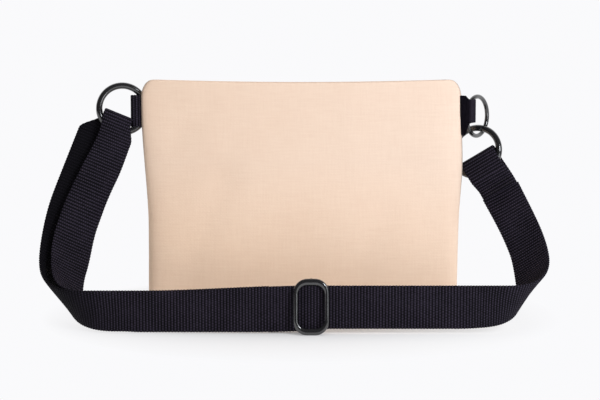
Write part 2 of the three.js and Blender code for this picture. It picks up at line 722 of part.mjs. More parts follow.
// The plain fold through the left ring: its front leg leads to the inner layer, and its back leg to
// the outer one, which stands further out.
function plainFold(fold) {
  const bend = Math.PI * LOOP_MID_RADIUS;
  const length = 2 * LOOP_LEG + bend;
  const placeAt = (travel) => {
    const angle = THREE.MathUtils.clamp((travel - LOOP_LEG) / LOOP_MID_RADIUS, 0, Math.PI);
    const facing = fold.out.clone().multiplyScalar(Math.cos(angle));
    facing.addScaledVector(fold.run, Math.sin(angle));
    const below = Math.max(LOOP_LEG - travel, travel - LOOP_LEG - bend, 0);
    const place = fold.origin.clone().addScaledVector(facing, LOOP_MID_RADIUS);
    const spread = ease(below / LOOP_LEG);
    const atBack = travel > length / 2;
    const width = mix(LEFT_FOLD_WIDTH, atBack ? STRAP_WIDTH : LEFT_LEG_WIDTH, spread);
    const shift = -(atBack ? OUTER_CURL : INNER_CURL).drift * spread;
    return { middle: place.addScaledVector(fold.run, -below), facing, width, shift };
  };
  const faces = [1, -1].map((face) => {
    const grid = [];
    for (let r = 0; r <= FOLD_ROWS; r += 1) {
      const { middle, facing, width, shift } = placeAt((length * r) / FOLD_ROWS);
      const row = [];
      for (let c = 0; c <= STRAP_COLUMNS; c += 1) {
        const point = middle.clone().addScaledVector(fold.across, shift + width * (c / STRAP_COLUMNS - 0.5));
        row.push(point.addScaledVector(facing, (face * STRAP_THICKNESS) / 2));
      }
      grid.push(row);
    }
    return grid;
  });
  return gridSolid(faces[0], faces[1]);
}

// The sewn end that holds the strap slider's centre bar.
function sliderLoop() {
  const inner = SLIDER_BAR_RADIUS + SEAM_GAP;
  const outer = inner + STRAP_THICKNESS;
  const stacked = -outer + 2 * STRAP_THICKNESS;
  const taperStart = -inner - LOOP_TAPER;
  const shape = new THREE.Shape();
  shape.moveTo(-SLIDER_LOOP_LENGTH, -outer);
  shape.lineTo(0, -outer);
  shape.absarc(0, 0, outer, -Math.PI / 2, Math.PI / 2);
  shape.lineTo(-inner, outer);
  shape.lineTo(taperStart, stacked);
  shape.lineTo(-SLIDER_LOOP_LENGTH, stacked);
  const pocket = new THREE.Path();
  pocket.moveTo(taperStart + STRAP_THICKNESS, -inner);
  pocket.lineTo(0, -inner);
  pocket.absarc(0, 0, inner, -Math.PI / 2, Math.PI / 2);
  pocket.lineTo(-inner, inner);
  shape.holes.push(pocket);
  const origin = vector(SLIDER_X, SLIDER_BAR_Y, STRAP_MID_Z);
  const frame = { x: vector(1, 0, 0), y: vector(0, 1, 0), z: vector(0, 0, 1), origin };
  return extrudeInFrame(shape, frame, -HALF_STRAP, HALF_STRAP);
}

// Thickness of webbing on its mid plane, standing on edge between two places along X.
function standingWebbing(fromX, toX, y) {
  const half = STRAP_THICKNESS / 2;
  return box([fromX, y - half, STRAP_BOTTOM], [toX, y + half, STRAP_BOTTOM + STRAP_WIDTH]);
}

function buildStrap() {
  const gap = SEAM_GAP / 2;
  const rightStart = RIGHT_CURL.start - flatEnd(RIGHT_CURL);
  const outerStart = OUTER_CURL.start - flatEnd(OUTER_CURL);
  const innerStart = INNER_CURL.start - flatEnd(INNER_CURL);
  addPiece('strap_front_run', standingWebbing(-outerStart + gap, rightStart - gap, FRONT_RUN_Y), 'webbing');
  const innerEnd = SLIDER_X - SLIDER_LOOP_LENGTH - gap;
  addPiece('strap_inner_run', standingWebbing(-innerStart + gap, innerEnd - gap, INNER_RUN_Y), 'webbing');
  addPiece('strap_slider_loop', sliderLoop(), 'webbing');
  const loopStart = RIGHT_CURL.end - LOOP_LENGTH - SEAM_GAP;
  const right = webbingRun(RIGHT_CURL, FRONT_RUN_Y, gap - flatEnd(RIGHT_CURL), loopStart, RIGHT_FOLD_WIDTH);
  addPiece('strap_right_side', right, 'webbing');
  addPiece('strap_end_loop', sewnLoop(rightFold), 'webbing');
  const legs = LOOP_LEG + SEAM_GAP;
  const innerTop = INNER_CURL.end - legs;
  const innerLine = { ...INNER_CURL, drift: 0 };
  const inner = webbingRun(innerLine, INNER_RUN_Y, gap - flatEnd(INNER_CURL), innerTop, LEFT_LEG_WIDTH);
  addPiece('strap_left_inner', inner, 'webbing');
  const outerTop = OUTER_CURL.end - legs;
  const outerLine = { ...OUTER_CURL, drift: 0 };
  const outer = webbingRun(outerLine, FRONT_RUN_Y, gap - flatEnd(OUTER_CURL), outerTop);
  addPiece('strap_left_outer', outer, 'webbing');
  addPiece('strap_left_fold', plainFold(leftFold), 'webbing');
}

// Rings: round wire rings, each in its own plane

function ringGeometry(frame, radius, wire) {
  const ring = new THREE.TorusGeometry(radius, wire / 2, WIRE_SIDES, RING_STEPS);
  const matrix = new THREE.Matrix4().makeBasis(frame.towardsBag, frame.up, frame.normal);
  return ring.applyMatrix4(matrix.setPosition(frame.origin));
}

// A webbing tab folded round a ring's wire and sewn to the pouch, with a slot that the ring turns in.
function tab(frame, radius, wire, height, rise) {
  const play = wire / 2 + HANGING_GAP;
  const reach = height / 2 + Math.abs(rise);
  const inside = radius - wire / 2;
  const slotNear = Math.sqrt(inside * inside - reach * reach) - HANGING_GAP;
  const slotFar = radius + play;
  const outerHalf = play + TAB_THICKNESS;
  const near = slotNear - TAB_THICKNESS;
  const far = slotFar + TAB_ROOT;
  const shape = polygon([
    [near, -play],
    [near + TAB_THICKNESS, -outerHalf],
    [far, -outerHalf],
    [far, outerHalf],
    [near + TAB_THICKNESS, outerHalf],
    [near, play],
  ]);
  const slot = new THREE.Path();
  slot.moveTo(slotNear, -play + TAB_THICKNESS / 2);
  slot.lineTo(slotNear, play - TAB_THICKNESS / 2);
  slot.lineTo(slotNear + TAB_THICKNESS / 2, play);
  slot.lineTo(slotFar, play);
  slot.lineTo(slotFar, -play);
  slot.lineTo(slotNear + TAB_THICKNESS / 2, -play);
  shape.holes.push(slot);
  const across = vector().crossVectors(frame.up, frame.towardsBag);
  const basis = { x: frame.towardsBag, y: across, z: frame.up, origin: frame.origin };
  return extrudeInFrame(shape, basis, rise - height / 2, rise + height / 2);
}

// The whole pouch as one plain body, grown by a gap, which trims what is sewn to its sides.
function pouchBody(grow) {
  const levels = wallLevels(0, BAG_HEIGHT, 2 * PANEL_ROWS);
  const rows = levels.length - 1;
  const columns = 2 * PANEL_COLUMNS;
  const rings = [];
  for (const z of levels) {
    const ring = [];
    for (let c = 0; c < columns; c += 1) {
      const [x, y] = sectionPoint((c / columns) * 2 * Math.PI, z, -grow);
      ring.push(vector(x, y + Math.sign(y) * (SEAM_GAP / 2), z));
    }
    rings.push(ring);
  }
  const points = rings.flat();
  const faces = [];
  for (let r = 0; r < rows; r += 1) {
    for (let c = 0; c < columns; c += 1) {
      const a = r * columns + c;
      const b = r * columns + ((c + 1) % columns);
      faces.push([a, b, b + columns], [a, b + columns, a + columns]);
    }
  }
  const last = rows * columns;
  for (let c = 1; c + 1 < columns; c += 1) {
    faces.push([0, c + 1, c], [last, last + c, last + c + 1]);
  }
  const geometry = new THREE.BufferGeometry();
  geometry.setAttribute('position', positions(points));
  geometry.setIndex(faces.flat());
  return geometry;
}

function buildRings() {
  const left = leftRingFrame();
  const right = rightRingFrame();
  const strapRing = strapRingFrame();
  addPiece('ring_left', ringGeometry(left, RING_RADIUS, RING_WIRE), 'ring');
  addPiece('ring_right', ringGeometry(right, SMALL_RING_RADIUS, SMALL_RING_WIRE), 'ring');
  addPiece('strap_ring', ringGeometry(strapRing, STRAP_RING_RADIUS, RING_WIRE), 'ring');
  const pouch = toSolid(pouchBody(SEAM_GAP));
  const leftTab = tab(left, RING_RADIUS, RING_WIRE, LEFT_TAB_HEIGHT, 0);
  const rightTab = tab(right, SMALL_RING_RADIUS, SMALL_RING_WIRE, RIGHT_TAB_HEIGHT, RIGHT_TAB_RISE);
  addPiece('tab_left', toGeometry(toSolid(leftTab).subtract(pouch)), 'webbing');
  addPiece('tab_right', toGeometry(toSolid(rightTab).subtract(pouch)), 'webbing');
}

// Strap slider: the webbing runs behind its side bars and in front of its centre bar

function buildStrapSlider() {
  const frontFace = FRONT_RUN_Y - STRAP_THICKNESS / 2 - RUNNING_GAP;
  const plate = roundedRectangle(SLIDER_WIDTH, SLIDER_HEIGHT, SLIDER_CORNER);
  const windowWidth = SLIDER_WIDTH - 2 * SLIDER_SIDE_BAR;
  const windowHeight = STRAP_WIDTH + 2 * SLIDER_WINDOW_PLAY;
  plate.holes.push(roundedRectangle(windowWidth, windowHeight, SLIDER_WINDOW_CORNER));
  const origin = vector(SLIDER_X, frontFace, STRAP_MID_Z);
  const frame = { x: vector(1, 0, 0), y: vector(0, 0, 1), z: vector(0, -1, 0), origin };
  const pieces = [extrudeInFrame(plate, frame, 0, SLIDER_DEPTH, SLIDER_CORNER_STEPS)];
  const barLength = windowHeight + SLIDER_END_BAR;
  const bar = new THREE.CylinderGeometry(SLIDER_BAR_RADIUS, SLIDER_BAR_RADIUS, barLength, BAR_SIDES);
  bar.rotateX(Math.PI / 2).translate(SLIDER_X, SLIDER_BAR_Y, STRAP_MID_Z);
  pieces.push(bar);
  const half = SLIDER_LUG_WIDTH / 2;
  for (const end of [-1, 1]) {
    const inner = STRAP_MID_Z + (end * windowHeight) / 2;
    const outer = inner + end * (SLIDER_END_BAR / 2 + SLIDER_WINDOW_PLAY);
    const lug = box(
      [SLIDER_X - half, frontFace - SLIDER_DEPTH / 2, Math.min(inner, outer)],
      [SLIDER_X + half, SLIDER_BAR_Y + SLIDER_BAR_RADIUS, Math.max(inner, outer)],
    );
    pieces.push(lug);
  }
  addPiece('strap_slider', join(pieces), 'ring');
}

buildPouch();
buildZip();
buildStrap();
buildRings();
buildStrapSlider();

export default bag;
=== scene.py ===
"""A canvas belt bag: a flat waist pouch with ringed side tabs and an adjustable webbing belt.

Everything is in metres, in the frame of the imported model: +X along the pouch's width towards the
linked rings, +Y from its front to its back, +Z up from the base that it stands on.
"""
import logging
import math
from dataclasses import dataclass, field
from enum import Enum
from typing import Any, Callable, Sequence

import bmesh
import bpy
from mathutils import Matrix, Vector


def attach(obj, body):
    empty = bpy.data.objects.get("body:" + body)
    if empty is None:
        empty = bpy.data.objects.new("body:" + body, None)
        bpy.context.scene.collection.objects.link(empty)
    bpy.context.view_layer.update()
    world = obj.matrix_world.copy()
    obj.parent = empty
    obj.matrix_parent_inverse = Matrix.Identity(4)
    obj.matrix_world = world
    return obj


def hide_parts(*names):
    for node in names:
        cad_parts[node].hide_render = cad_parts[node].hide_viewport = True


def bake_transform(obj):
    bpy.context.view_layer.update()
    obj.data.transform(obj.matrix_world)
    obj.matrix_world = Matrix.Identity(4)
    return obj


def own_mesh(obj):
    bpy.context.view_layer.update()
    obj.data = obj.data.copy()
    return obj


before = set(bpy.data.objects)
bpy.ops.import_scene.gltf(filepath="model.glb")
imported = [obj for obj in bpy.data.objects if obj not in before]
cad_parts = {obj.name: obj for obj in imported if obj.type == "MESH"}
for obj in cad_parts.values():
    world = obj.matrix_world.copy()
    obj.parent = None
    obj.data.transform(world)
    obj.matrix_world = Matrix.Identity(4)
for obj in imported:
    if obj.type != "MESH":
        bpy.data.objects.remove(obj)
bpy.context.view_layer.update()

WEAVE_MAP = "weave"
TURN = 2 * math.pi
TINY = 1e-9
BEAD_END = 1.45
log = logging.getLogger("belt_bag")

Pair = tuple[float, float]
Triple = tuple[float, float, float]
Colour = Triple
Grid = list[list[Vector]]
Face = tuple[int, ...]


# Plain numbers and points

def mix(low: Any, high: Any, share: float) -> Any:
    """A value between two others, numbers or vectors."""
    return low + (high - low) * share


def ease(value: float) -> float:
    """A smooth step from 0 to 1."""
    t = min(max(value, 0.0), 1.0)
    return t * t * (3 - 2 * t)


def signed_power(value: float, power: float) -> float:
    """A power that keeps the sign of its value."""
    return math.copysign(abs(value) ** power, value)


@dataclass(frozen=True)
class Span:
    """A stretch of a measure over which something sets in smoothly."""

    start: float
    length: float

    def share(self, value: float) -> float:
        """How far it has set in at a value, from 0 to 1."""
        return ease((value - self.start) / self.length)


# Meshes from grids of points

def grid_faces(rows: int, columns: int, round_rows: bool = False, round_columns: bool = False,
               first: int = 0) -> list[Face]:
    """Quads over a grid of points.

    Args:
        rows: how many rows of points there are.
        columns: how many points a row has.
        round_rows: whether the last row joins the first.
        round_columns: whether each row closes on itself.
        first: the number of the grid's first point.

    Returns:
        Each quad's point numbers.
    """
    faces = []
    for r in range(rows if round_rows else rows - 1):
        for c in range(columns if round_columns else columns - 1):
            after, beside = (r + 1) % rows, (c + 1) % columns
            corners = ((r, c), (r, beside), (after, beside), (after, c))
            faces.append(tuple(first + row * columns + column for row, column in corners))
    return faces


def mesh_piece(name: str, points: Sequence[Vector], faces: Sequence[Face]) -> bpy.types.Object:
    """A new mesh object in the scene, shaded as one round surface.

    Args:
        name: the piece's name.
        points: its points.
        faces: the point numbers of each face.

    Returns:
        The object, with its faces turned outwards.
    """
    mesh = bpy.data.meshes.new(name)
    mesh.from_pydata([tuple(p) for p in points], [], faces)
    shaped = bmesh.new()
    shaped.from_mesh(mesh)
    bmesh.ops.recalc_face_normals(shaped, faces=shaped.faces)
    shaped.to_mesh(mesh)
    shaped.free()
    mesh.polygons.foreach_set("use_smooth", [True] * len(mesh.polygons))
    mesh.update()
    piece = bpy.data.objects.new(name, mesh)
    bpy.context.scene.collection.objects.link(piece)
    return piece


def tube_piece(name: str, rings: Grid, closed: bool) -> bpy.types.Object:
    """A tube through rings of points.

    Args:
        name: the piece's name.
        rings: the sections, each a closed ring with the same number of points.
        closed: whether the last section joins the first, as in a wire ring.

    Returns:
        The object, with capped ends where it isn't closed.
    """
    if not closed:
        return tubes_piece(name, [rings])
    faces = grid_faces(len(rings), len(rings[0]), round_rows=True, round_columns=True)
    return mesh_piece(name, [p for ring in rings for p in ring], faces)


def tubes_piece(name: str, tubes: Sequence[Grid]) -> bpy.types.Object:
    """Several capped tubes in one mesh.

    Args:
        name: the piece's name.
        tubes: the sections of each tube.

    Returns:
        The object.
    """
    points: list[Vector] = []
    faces: list[Face] = []
    for rings in tubes:
        rows, columns, first = len(rings), len(rings[0]), len(points)
        faces.extend(grid_faces(rows, columns, round_columns=True, first=first))
        faces.append(tuple(reversed(range(first, first + columns))))
        faces.append(tuple(range(first + (rows - 1) * columns, first + rows * columns)))
        points.extend(p for ring in rings for p in ring)
    return mesh_piece(name, points, faces)


def bead(centre: Vector, along: Vector, across: Vector, out: Vector, squareness: float = 3.0,
         rows: int = 6, sides: int = 10) -> Grid:
    """The sections of a small rounded block.

    Args:
        centre: its middle.
        along: half of its length.
        across: half of its width.
        out: half of its height.
        squareness: 2 for an egg, more for a block with rounded edges.
        rows: how many sections it has.
        sides: how many points a section has.

    Returns:
        The sections.
    """
    power = 2 / squareness
    rings = []
    for row in range(rows + 1):
        angle = mix(-BEAD_END, BEAD_END, row / rows)
        middle = centre + along * signed_power(math.sin(angle), power)
        size = math.cos(angle) ** power
        turns = [TURN * k / sides for k in range(sides)]
        rings.append([middle + across * (size * signed_power(math.cos(t), power))
                      + out * (size * signed_power(math.sin(t), power)) for t in turns])
    return rings


def soften(piece: bpy.types.Object, width: float, segments: int = 3) -> None:
    """Rounds a piece's sharp edges with a bevel.

    Args:
        piece: the mesh object.
        width: how wide the rounding is.
        segments: how many strips it has.
    """
    bevel = piece.modifiers.new("edge_rounding", "BEVEL")
    bevel.width = width
    bevel.segments = segments
    bevel.limit_method = "ANGLE"
    bevel.angle_limit = math.radians(40)
    bevel.harden_normals = True


def dress(piece: bpy.types.Object, material: bpy.types.Material) -> None:
    """Gives a piece its material.

    Args:
        piece: a new piece or a carried-over node.
        material: its material.
    """
    piece.data.materials.clear()
    piece.data.materials.append(material)


# Shader maths

class Socket:
    """A shader socket's value, which takes part in Python expressions."""

    def __init__(self, shader: "Shader", socket: bpy.types.NodeSocket) -> None:
        """Wraps a node's output."""
        self.shader = shader
        self.socket = socket

    def _math(self, operation: str, *terms: Any) -> "Socket":
        """A Math node over these terms."""
        node = self.shader.node("ShaderNodeMath", {"operation": operation}, dict(enumerate(terms)))
        return self.shader.out(node, "Value")

    def __add__(self, other: Any) -> "Socket":
        """This plus another."""
        return self._math("ADD", self, other)

    def __radd__(self, other: Any) -> "Socket":
        """Another plus this."""
        return self._math("ADD", other, self)

    def __sub__(self, other: Any) -> "Socket":
        """This less another."""
        return self._math("SUBTRACT", self, other)

    def __rsub__(self, other: Any) -> "Socket":
        """Another less this."""
        return self._math("SUBTRACT", other, self)

    def __mul__(self, other: Any) -> "Socket":
        """This times another."""
        return self._math("MULTIPLY", self, other)

    def __rmul__(self, other: Any) -> "Socket":
        """Another times this."""
        return self._math("MULTIPLY", other, self)

    def __pow__(self, other: Any) -> "Socket":
        """This to a power."""
        return self._math("POWER", self, other)

    def sine(self) -> "Socket":
        """The sine of this angle."""
        return self._math("SINE", self)

    def floor(self) -> "Socket":
        """The whole number below this."""
        return self._math("FLOOR", self)

    def modulo(self, other: Any) -> "Socket":
        """What is left of this after whole steps."""
        return self._math("FLOORED_MODULO", self, other)

    def clamped(self) -> "Socket":
        """This, kept from 0 to 1."""
        return self._math("MINIMUM", self._math("MAXIMUM", self, 0.0), 1.0)


class Shader:
    """One material's or world's node tree."""

    def __init__(self, tree: bpy.types.NodeTree) -> None:
        """Takes a tree over and clears it."""
        self.tree = tree
        tree.nodes.clear()

    @classmethod
    def of_material(cls, name: str) -> tuple["Shader", bpy.types.Material]:
        """A new material and the tree that makes it."""
        material = bpy.data.materials.new(name)
        material.use_nodes = True
        return cls(material.node_tree), material

    def node(self, kind: str, settings: dict[str, Any] | None = None,
             sockets: dict[Any, Any] | None = None) -> bpy.types.Node:
        """A node of any kind.

        Args:
            kind: its type.
            settings: its own settings, which are set first; stops are a ramp's places and colours.
            sockets: values or links of its sockets, by name or by number.

        Returns:
            The node.
        """
        node = self.tree.nodes.new(kind)
        for name, value in (settings or {}).items():
            if name == "stops":
                self._set_stops(node.color_ramp, value)
            else:
                setattr(node, name, value)
        usable = [s for s in node.inputs if s.enabled]
        for key, value in (sockets or {}).items():
            target = usable[key] if isinstance(key, int) else next(s for s in usable if s.name == key)
            if isinstance(value, Socket):
                self.tree.links.new(value.socket, target)
            else:
                target.default_value = value
        return node

    @staticmethod
    def _set_stops(ramp: bpy.types.ColorRamp, stops: Sequence[tuple[float, Colour]]) -> None:
        """Puts a ramp's stops in place."""
        while len(ramp.elements) < len(stops):
            ramp.elements.new(1.0)
        for element, (place, colour) in zip(ramp.elements, stops):
            element.position = place
            element.color = (*colour, 1.0)

    def out(self, node: bpy.types.Node, name: str) -> Socket:
        """One of a node's outputs."""
        return Socket(self, next(s for s in node.outputs if s.enabled and s.name == name))

    def value(self, kind: str, output: str, settings: dict[str, Any] | None = None,
              **sockets: Any) -> Socket:
        """The output of a new node, with sockets given by their plain names."""
        named = {name.replace("_", " "): value for name, value in sockets.items()}
        return self.out(self.node(kind, settings, named), output)

    def blend(self, factor: Any, low: Any, high: Any) -> Socket:
        """A colour between two colours."""
        pair = [c if isinstance(c, Socket) else (*c, 1.0) for c in (low, high)]
        settings = {"data_type": "RGBA", "blend_type": "MIX"}
        return self.value("ShaderNodeMix", "Result", settings, Factor=factor, A=pair[0], B=pair[1])

    def scaled(self, place: Socket, scale: Colour) -> Socket:
        """A place with each of its parts scaled."""
        node = self.node("ShaderNodeVectorMath", {"operation": "MULTIPLY"}, {0: place, 1: scale})
        return self.out(node, "Vector")

    def noise(self, place: Socket, scale: float, detail: float = 2.0) -> Socket:
        """Soft noise from 0 to 1 over a place."""
        return self.value("ShaderNodeTexNoise", "Fac", None, Vector=place, Scale=scale, Detail=detail)

    def parts(self, place: Socket) -> tuple[Socket, Socket, Socket]:
        """The X, Y and Z of a place."""
        node = self.node("ShaderNodeSeparateXYZ", None, {"Vector": place})
        return self.out(node, "X"), self.out(node, "Y"), self.out(node, "Z")

    def bump(self, height: Socket, depth: float, strength: float = 1.0) -> Socket:
        """The normal of a bumped surface."""
        sockets = {"Height": height, "Distance": depth, "Strength": strength}
        return self.value("ShaderNodeBump", "Normal", None, **sockets)

    def surface(self, **sockets: Any) -> bpy.types.Node:
        """A Principled surface, joined to the material's output."""
        named = {name.replace("_", " "): value for name, value in sockets.items()}
        surface = self.node("ShaderNodeBsdfPrincipled", None, named)
        self.node("ShaderNodeOutputMaterial", None, {"Surface": self.out(surface, "BSDF")})
        return surface


# Finishes

@dataclass(frozen=True)
class CanvasFinish:
    """Matt cotton canvas: a plain weave with slubs in its yarn, painted warmer and brighter low down and
    to the left as painted warm fill light.
    """

    colour: Colour = (0.865, 0.695, 0.575)
    thick: Colour = (0.80, 0.615, 0.50)
    # Painted light: the tones below paint the canvas warmer and brighter low down and to the left, as warm
    # fill light there.
    painted_warm_fill: Colour = (0.95, 0.72, 0.55)
    painted_warm_fill_thick: Colour = (0.885, 0.64, 0.475)
    painted_fill_height: float = 0.1
    painted_fill_reach: float = 0.11
    yarn_pitch: float = 0.0009
    slub_length: float = 0.011
    slub_height: float = 0.0011

    def material(self) -> bpy.types.Material:
        """Makes the cloth.

        Returns:
            Its material, woven along X and Z.
        """
        shader, material = Shader.of_material("canvas")
        place = shader.value("ShaderNodeTexCoord", "Object")
        x, _, z = shader.parts(place)
        turns = TURN / self.yarn_pitch
        weave = (x * turns).sine() * (z * turns).sine() * 0.5 + 0.5
        fine, coarse = 1 / self.slub_height, 1 / self.slub_length
        weft = shader.noise(shader.scaled(place, (coarse, coarse, fine)), 1.0)
        warp = shader.noise(shader.scaled(place, (fine, coarse, coarse)), 1.0)
        slubs = weft * 0.55 + warp * 0.45
        cloud = shader.noise(place, 22.0, 3.0)
        tint = ((slubs - 0.5) * 1.5 + (cloud - 0.5) * 0.7 + (weave - 0.5) * 0.25 + 0.6).clamped()
        height = weave * 0.5 + slubs * 0.8
        # Painted light: the cloth is blended towards the warmer, brighter tone near the base and on the
        # left, as painted warm fill light.
        low = (1.0 - z * (1 / self.painted_fill_height)).clamped()
        left = (0.5 - x * (0.5 / self.painted_fill_reach)).clamped()
        plain = shader.blend(tint, self.thick, self.colour)
        painted_fill_cloth = shader.blend(tint, self.painted_warm_fill_thick, self.painted_warm_fill)
        shader.surface(
            Base_Color=shader.blend((low + left * 0.6).clamped(), plain, painted_fill_cloth),
            Roughness=0.86 + (slubs - 0.5) * 0.12,
            Specular_IOR_Level=0.25,
            Sheen_Weight=0.12,
            Sheen_Roughness=0.5,
            Normal=shader.bump(height, 0.00022, 0.7),
        )
        return material


@dataclass(frozen=True)
class LiningFinish:
    """Thin plain lining cloth."""

    colour: Colour = (0.27, 0.205, 0.165)
    yarn_pitch: float = 0.0005

    def material(self) -> bpy.types.Material:
        """Makes the cloth.

        Returns:
            Its material.
        """
        shader, material = Shader.of_material("lining")
        place = shader.value("ShaderNodeTexCoord", "Object")
        x, _, z = shader.parts(place)
        turns = TURN / self.yarn_pitch
        weave = (x * turns).sine() * (z * turns).sine() * 0.5 + 0.5
        cloud = shader.noise(place, 60.0, 3.0)
        dark = tuple(0.8 * part for part in self.colour)
        shader.surface(
            Base_Color=shader.blend((cloud * 0.7 + weave * 0.3).clamped(), dark, self.colour),
            Roughness=0.72 + cloud * 0.1,
            Specular_IOR_Level=0.3,
            Normal=shader.bump(weave, 0.00006),
        )
        return material


@dataclass(frozen=True)
class WebbingFinish:
    """Black belt webbing with beaded cross ribs, with painted shade in the grooves between its ribs and
    along its stretch behind the left ring, where the inner layer shades it.
    """

    name: str = "webbing"
    # Painted shade: the webbing runs from the crest colour on its ribs to near black in the grooves
    # between them, which paints the grooves' shade.
    crest: Colour = (0.052, 0.042, 0.070)
    painted_groove_shade: Colour = (0.0015, 0.0012, 0.0028)
    rib_pitch: float = 0.0019
    bead_pitch: float = 0.00145
    # Painted shade: the stretch of belt between these measures, behind the left ring, is painted darker as
    # the shade that the inner layer casts on it.
    painted_shade_start: float = -0.118
    painted_shade_end: float = -0.297
    painted_shade_fade: float = 0.03
    painted_shade_share: float = 0.85

    def material(self) -> bpy.types.Material:
        """Makes the webbing, whose map holds metres along and across the belt.

        Returns:
            Its material.
        """
        shader, material = Shader.of_material(self.name)
        along, across, _ = shader.parts(shader.value("ShaderNodeUVMap", "UV", {"uv_map": WEAVE_MAP}))
        ribs = along * (1 / self.rib_pitch)
        odd = ribs.floor().modulo(2.0)
        crest = 0.5 - ((ribs + 0.25) * TURN).sine() * 0.5
        bead = ((across * (1 / self.bead_pitch) + odd * 0.5) * TURN).sine() * 0.5 + 0.5
        place = shader.value("ShaderNodeTexCoord", "Object")
        fuzz = shader.noise(place, 900.0, 3.0)
        patch = shader.noise(place, 60.0, 2.0)
        # Painted shade in the rib grooves: this mask follows the ribs' crests, as the geometry does,
        # together with the weave's beads across them.
        yarn = (crest * (bead * 0.6 + 0.4)) ** 1.5
        tint = (yarn * 0.85 + (fuzz - 0.5) * 0.5 + (patch - 0.5) * 0.25).clamped()
        # Painted shade: darkens the belt's stretch behind the left ring, where its inner layer shades it.
        in_painted_shade = ((self.painted_shade_start - along) * (1 / self.painted_shade_fade)).clamped()
        before_fold = ((along - self.painted_shade_end) * (8 / self.painted_shade_fade)).clamped()
        tint = tint * (1.0 - in_painted_shade * before_fold * self.painted_shade_share)
        shader.surface(
            Base_Color=shader.blend(tint, self.painted_groove_shade, self.crest),
            Roughness=0.78 + (fuzz - 0.5) * 0.2,
            Specular_IOR_Level=0.12,
            Normal=shader.bump(yarn + fuzz * 0.15, 0.00022, 0.8),
        )
        return material


@dataclass(frozen=True)
class PlatedFinish:
    """Black plated metal, polished or satin."""

    name: str
    colour: Colour
    roughness: float
    metallic: float

    def material(self) -> bpy.types.Material:
        """Makes the plating, with faint rubbing in its polish.

        Returns:
            Its material.
        """
        shader, material = Shader.of_material(self.name)
        place = shader.value("ShaderNodeTexCoord", "Object")
        rub = shader.noise(shader.scaled(place, (1.0, 1.0, 3.0)), 160.0, 4.0)
        haze = shader.noise(place, 45.0, 2.0)
        worn = tuple(1.6 * part for part in self.colour)
        shader.surface(
            Base_Color=shader.blend(((rub - 0.55) * 2.0).clamped(), self.colour, worn),
            Roughness=self.roughness + (haze - 0.5) * 0.06 + (rub - 0.5) * 0.04,
            Metallic=self.metallic,
            Specular_IOR_Level=0.8,
            Coat_Weight=0.8,
            Coat_Roughness=0.06,
            Normal=shader.bump(haze, 0.00005, 0.25),
        )
        return material


@dataclass(frozen=True)
class ZipTapeFinish:
    """Dark woven zip tape and its moulded teeth."""

    colour: Colour = (0.022, 0.019, 0.018)
    yarn_pitch: float = 0.0006

    def material(self) -> bpy.types.Material:
        """Makes the tape.

        Returns:
            Its material.
        """
        shader, material = Shader.of_material("zip_tape")
        place = shader.value("ShaderNodeTexCoord", "Object")
        x, y, _ = shader.parts(place)
        turns = TURN / self.yarn_pitch
        weave = ((x + y) * turns).sine() * ((x - y) * turns).sine() * 0.5 + 0.5
        cloud = shader.noise(place, 300.0, 3.0)
        pale = tuple(2.0 * part for part in self.colour)
        shader.surface(
            Base_Color=shader.blend((weave * 0.5 + cloud * 0.4).clamped(), self.colour, pale),
            Roughness=0.55 + cloud * 0.15,
            Specular_IOR_Level=0.4,
            Normal=shader.bump(weave, 0.00005, 0.6),
        )
        return material


@dataclass(frozen=True)
class ThreadFinish:
    """Black sewing thread, a little glossier than the webbing."""

    colour: Colour = (0.010, 0.009, 0.012)
    twist_pitch: float = 0.0004

    def material(self) -> bpy.types.Material:
        """Makes the thread.

        Returns:
            Its material.
        """
        shader, material = Shader.of_material("thread")
        x, y, z = shader.parts(shader.value("ShaderNodeTexCoord", "Object"))
        twist = ((x + y + z) * (TURN / self.twist_pitch)).sine() * 0.5 + 0.5
        pale = tuple(2.5 * part for part in self.colour)
        shader.surface(
            Base_Color=shader.blend(twist, self.colour, pale),
            Roughness=0.5 + twist * 0.15,
            Specular_IOR_Level=0.4,
            Normal=shader.bump(twist, 0.00004),
        )
        return material


class Slot(Enum):
    """The record's finishes."""

    CANVAS = "canvas"
    LINING = "lining"
    WEBBING = "webbing"
    ZIP_TAPE = "zip_tape"
    HARDWARE = "hardware"
    ZIP_METAL = "zip_metal"


@dataclass(frozen=True)
class Wardrobe:
    """All the materials of the bag, by the record's finishes."""

    materials: dict[Slot, bpy.types.Material]
    thread: bpy.types.Material

    @classmethod
    def stocked(cls) -> "Wardrobe":
        """Makes every finish once."""
        finishes = {
            Slot.CANVAS: CanvasFinish(),
            Slot.LINING: LiningFinish(),
            Slot.WEBBING: WebbingFinish(),
            Slot.ZIP_TAPE: ZipTapeFinish(),
            Slot.HARDWARE: PlatedFinish("hardware", (0.009, 0.009, 0.011), roughness=0.13, metallic=0.0),
            Slot.ZIP_METAL: PlatedFinish("zip_metal", (0.03, 0.03, 0.033), roughness=0.3, metallic=0.7),
        }
        materials = {slot: finish.material() for slot, finish in finishes.items()}
        return cls(materials, ThreadFinish().material())

    def dress(self, piece: bpy.types.Object, slot: Slot) -> None:
        """Dresses a piece in one of the finishes."""
        dress(piece, self.materials[slot])

    def sew(self, piece: bpy.types.Object) -> None:
        """Dresses a row of stitches."""
        dress(piece, self.thread)


# The pouch

class Side(Enum):
    """The two faces of the pouch."""

    FRONT = -1
    BACK = 1


@dataclass(frozen=True)
class Dent:
    """A shallow slack fold in the front cloth, along a line across it."""

    low: Pair
    high: Pair
    depth: float
    reach: float

    def depth_at(self, x: float, z: float) -> float:
        """How deep the fold is at a place on the front.

        Args:
            x: the place across the front.
            z: its height.

        Returns:
            The depth there.
        """
        run = Vector(self.high) - Vector(self.low)
        offset = Vector((x, z)) - Vector(self.low)
        share = offset.dot(run) / run.length_squared
        aside = (offset - run * share).length / self.reach
        beyond = max(-share, share - 1, 0.0) * run.length / self.reach
        return self.depth * math.exp(-aside * aside - beyond * beyond)


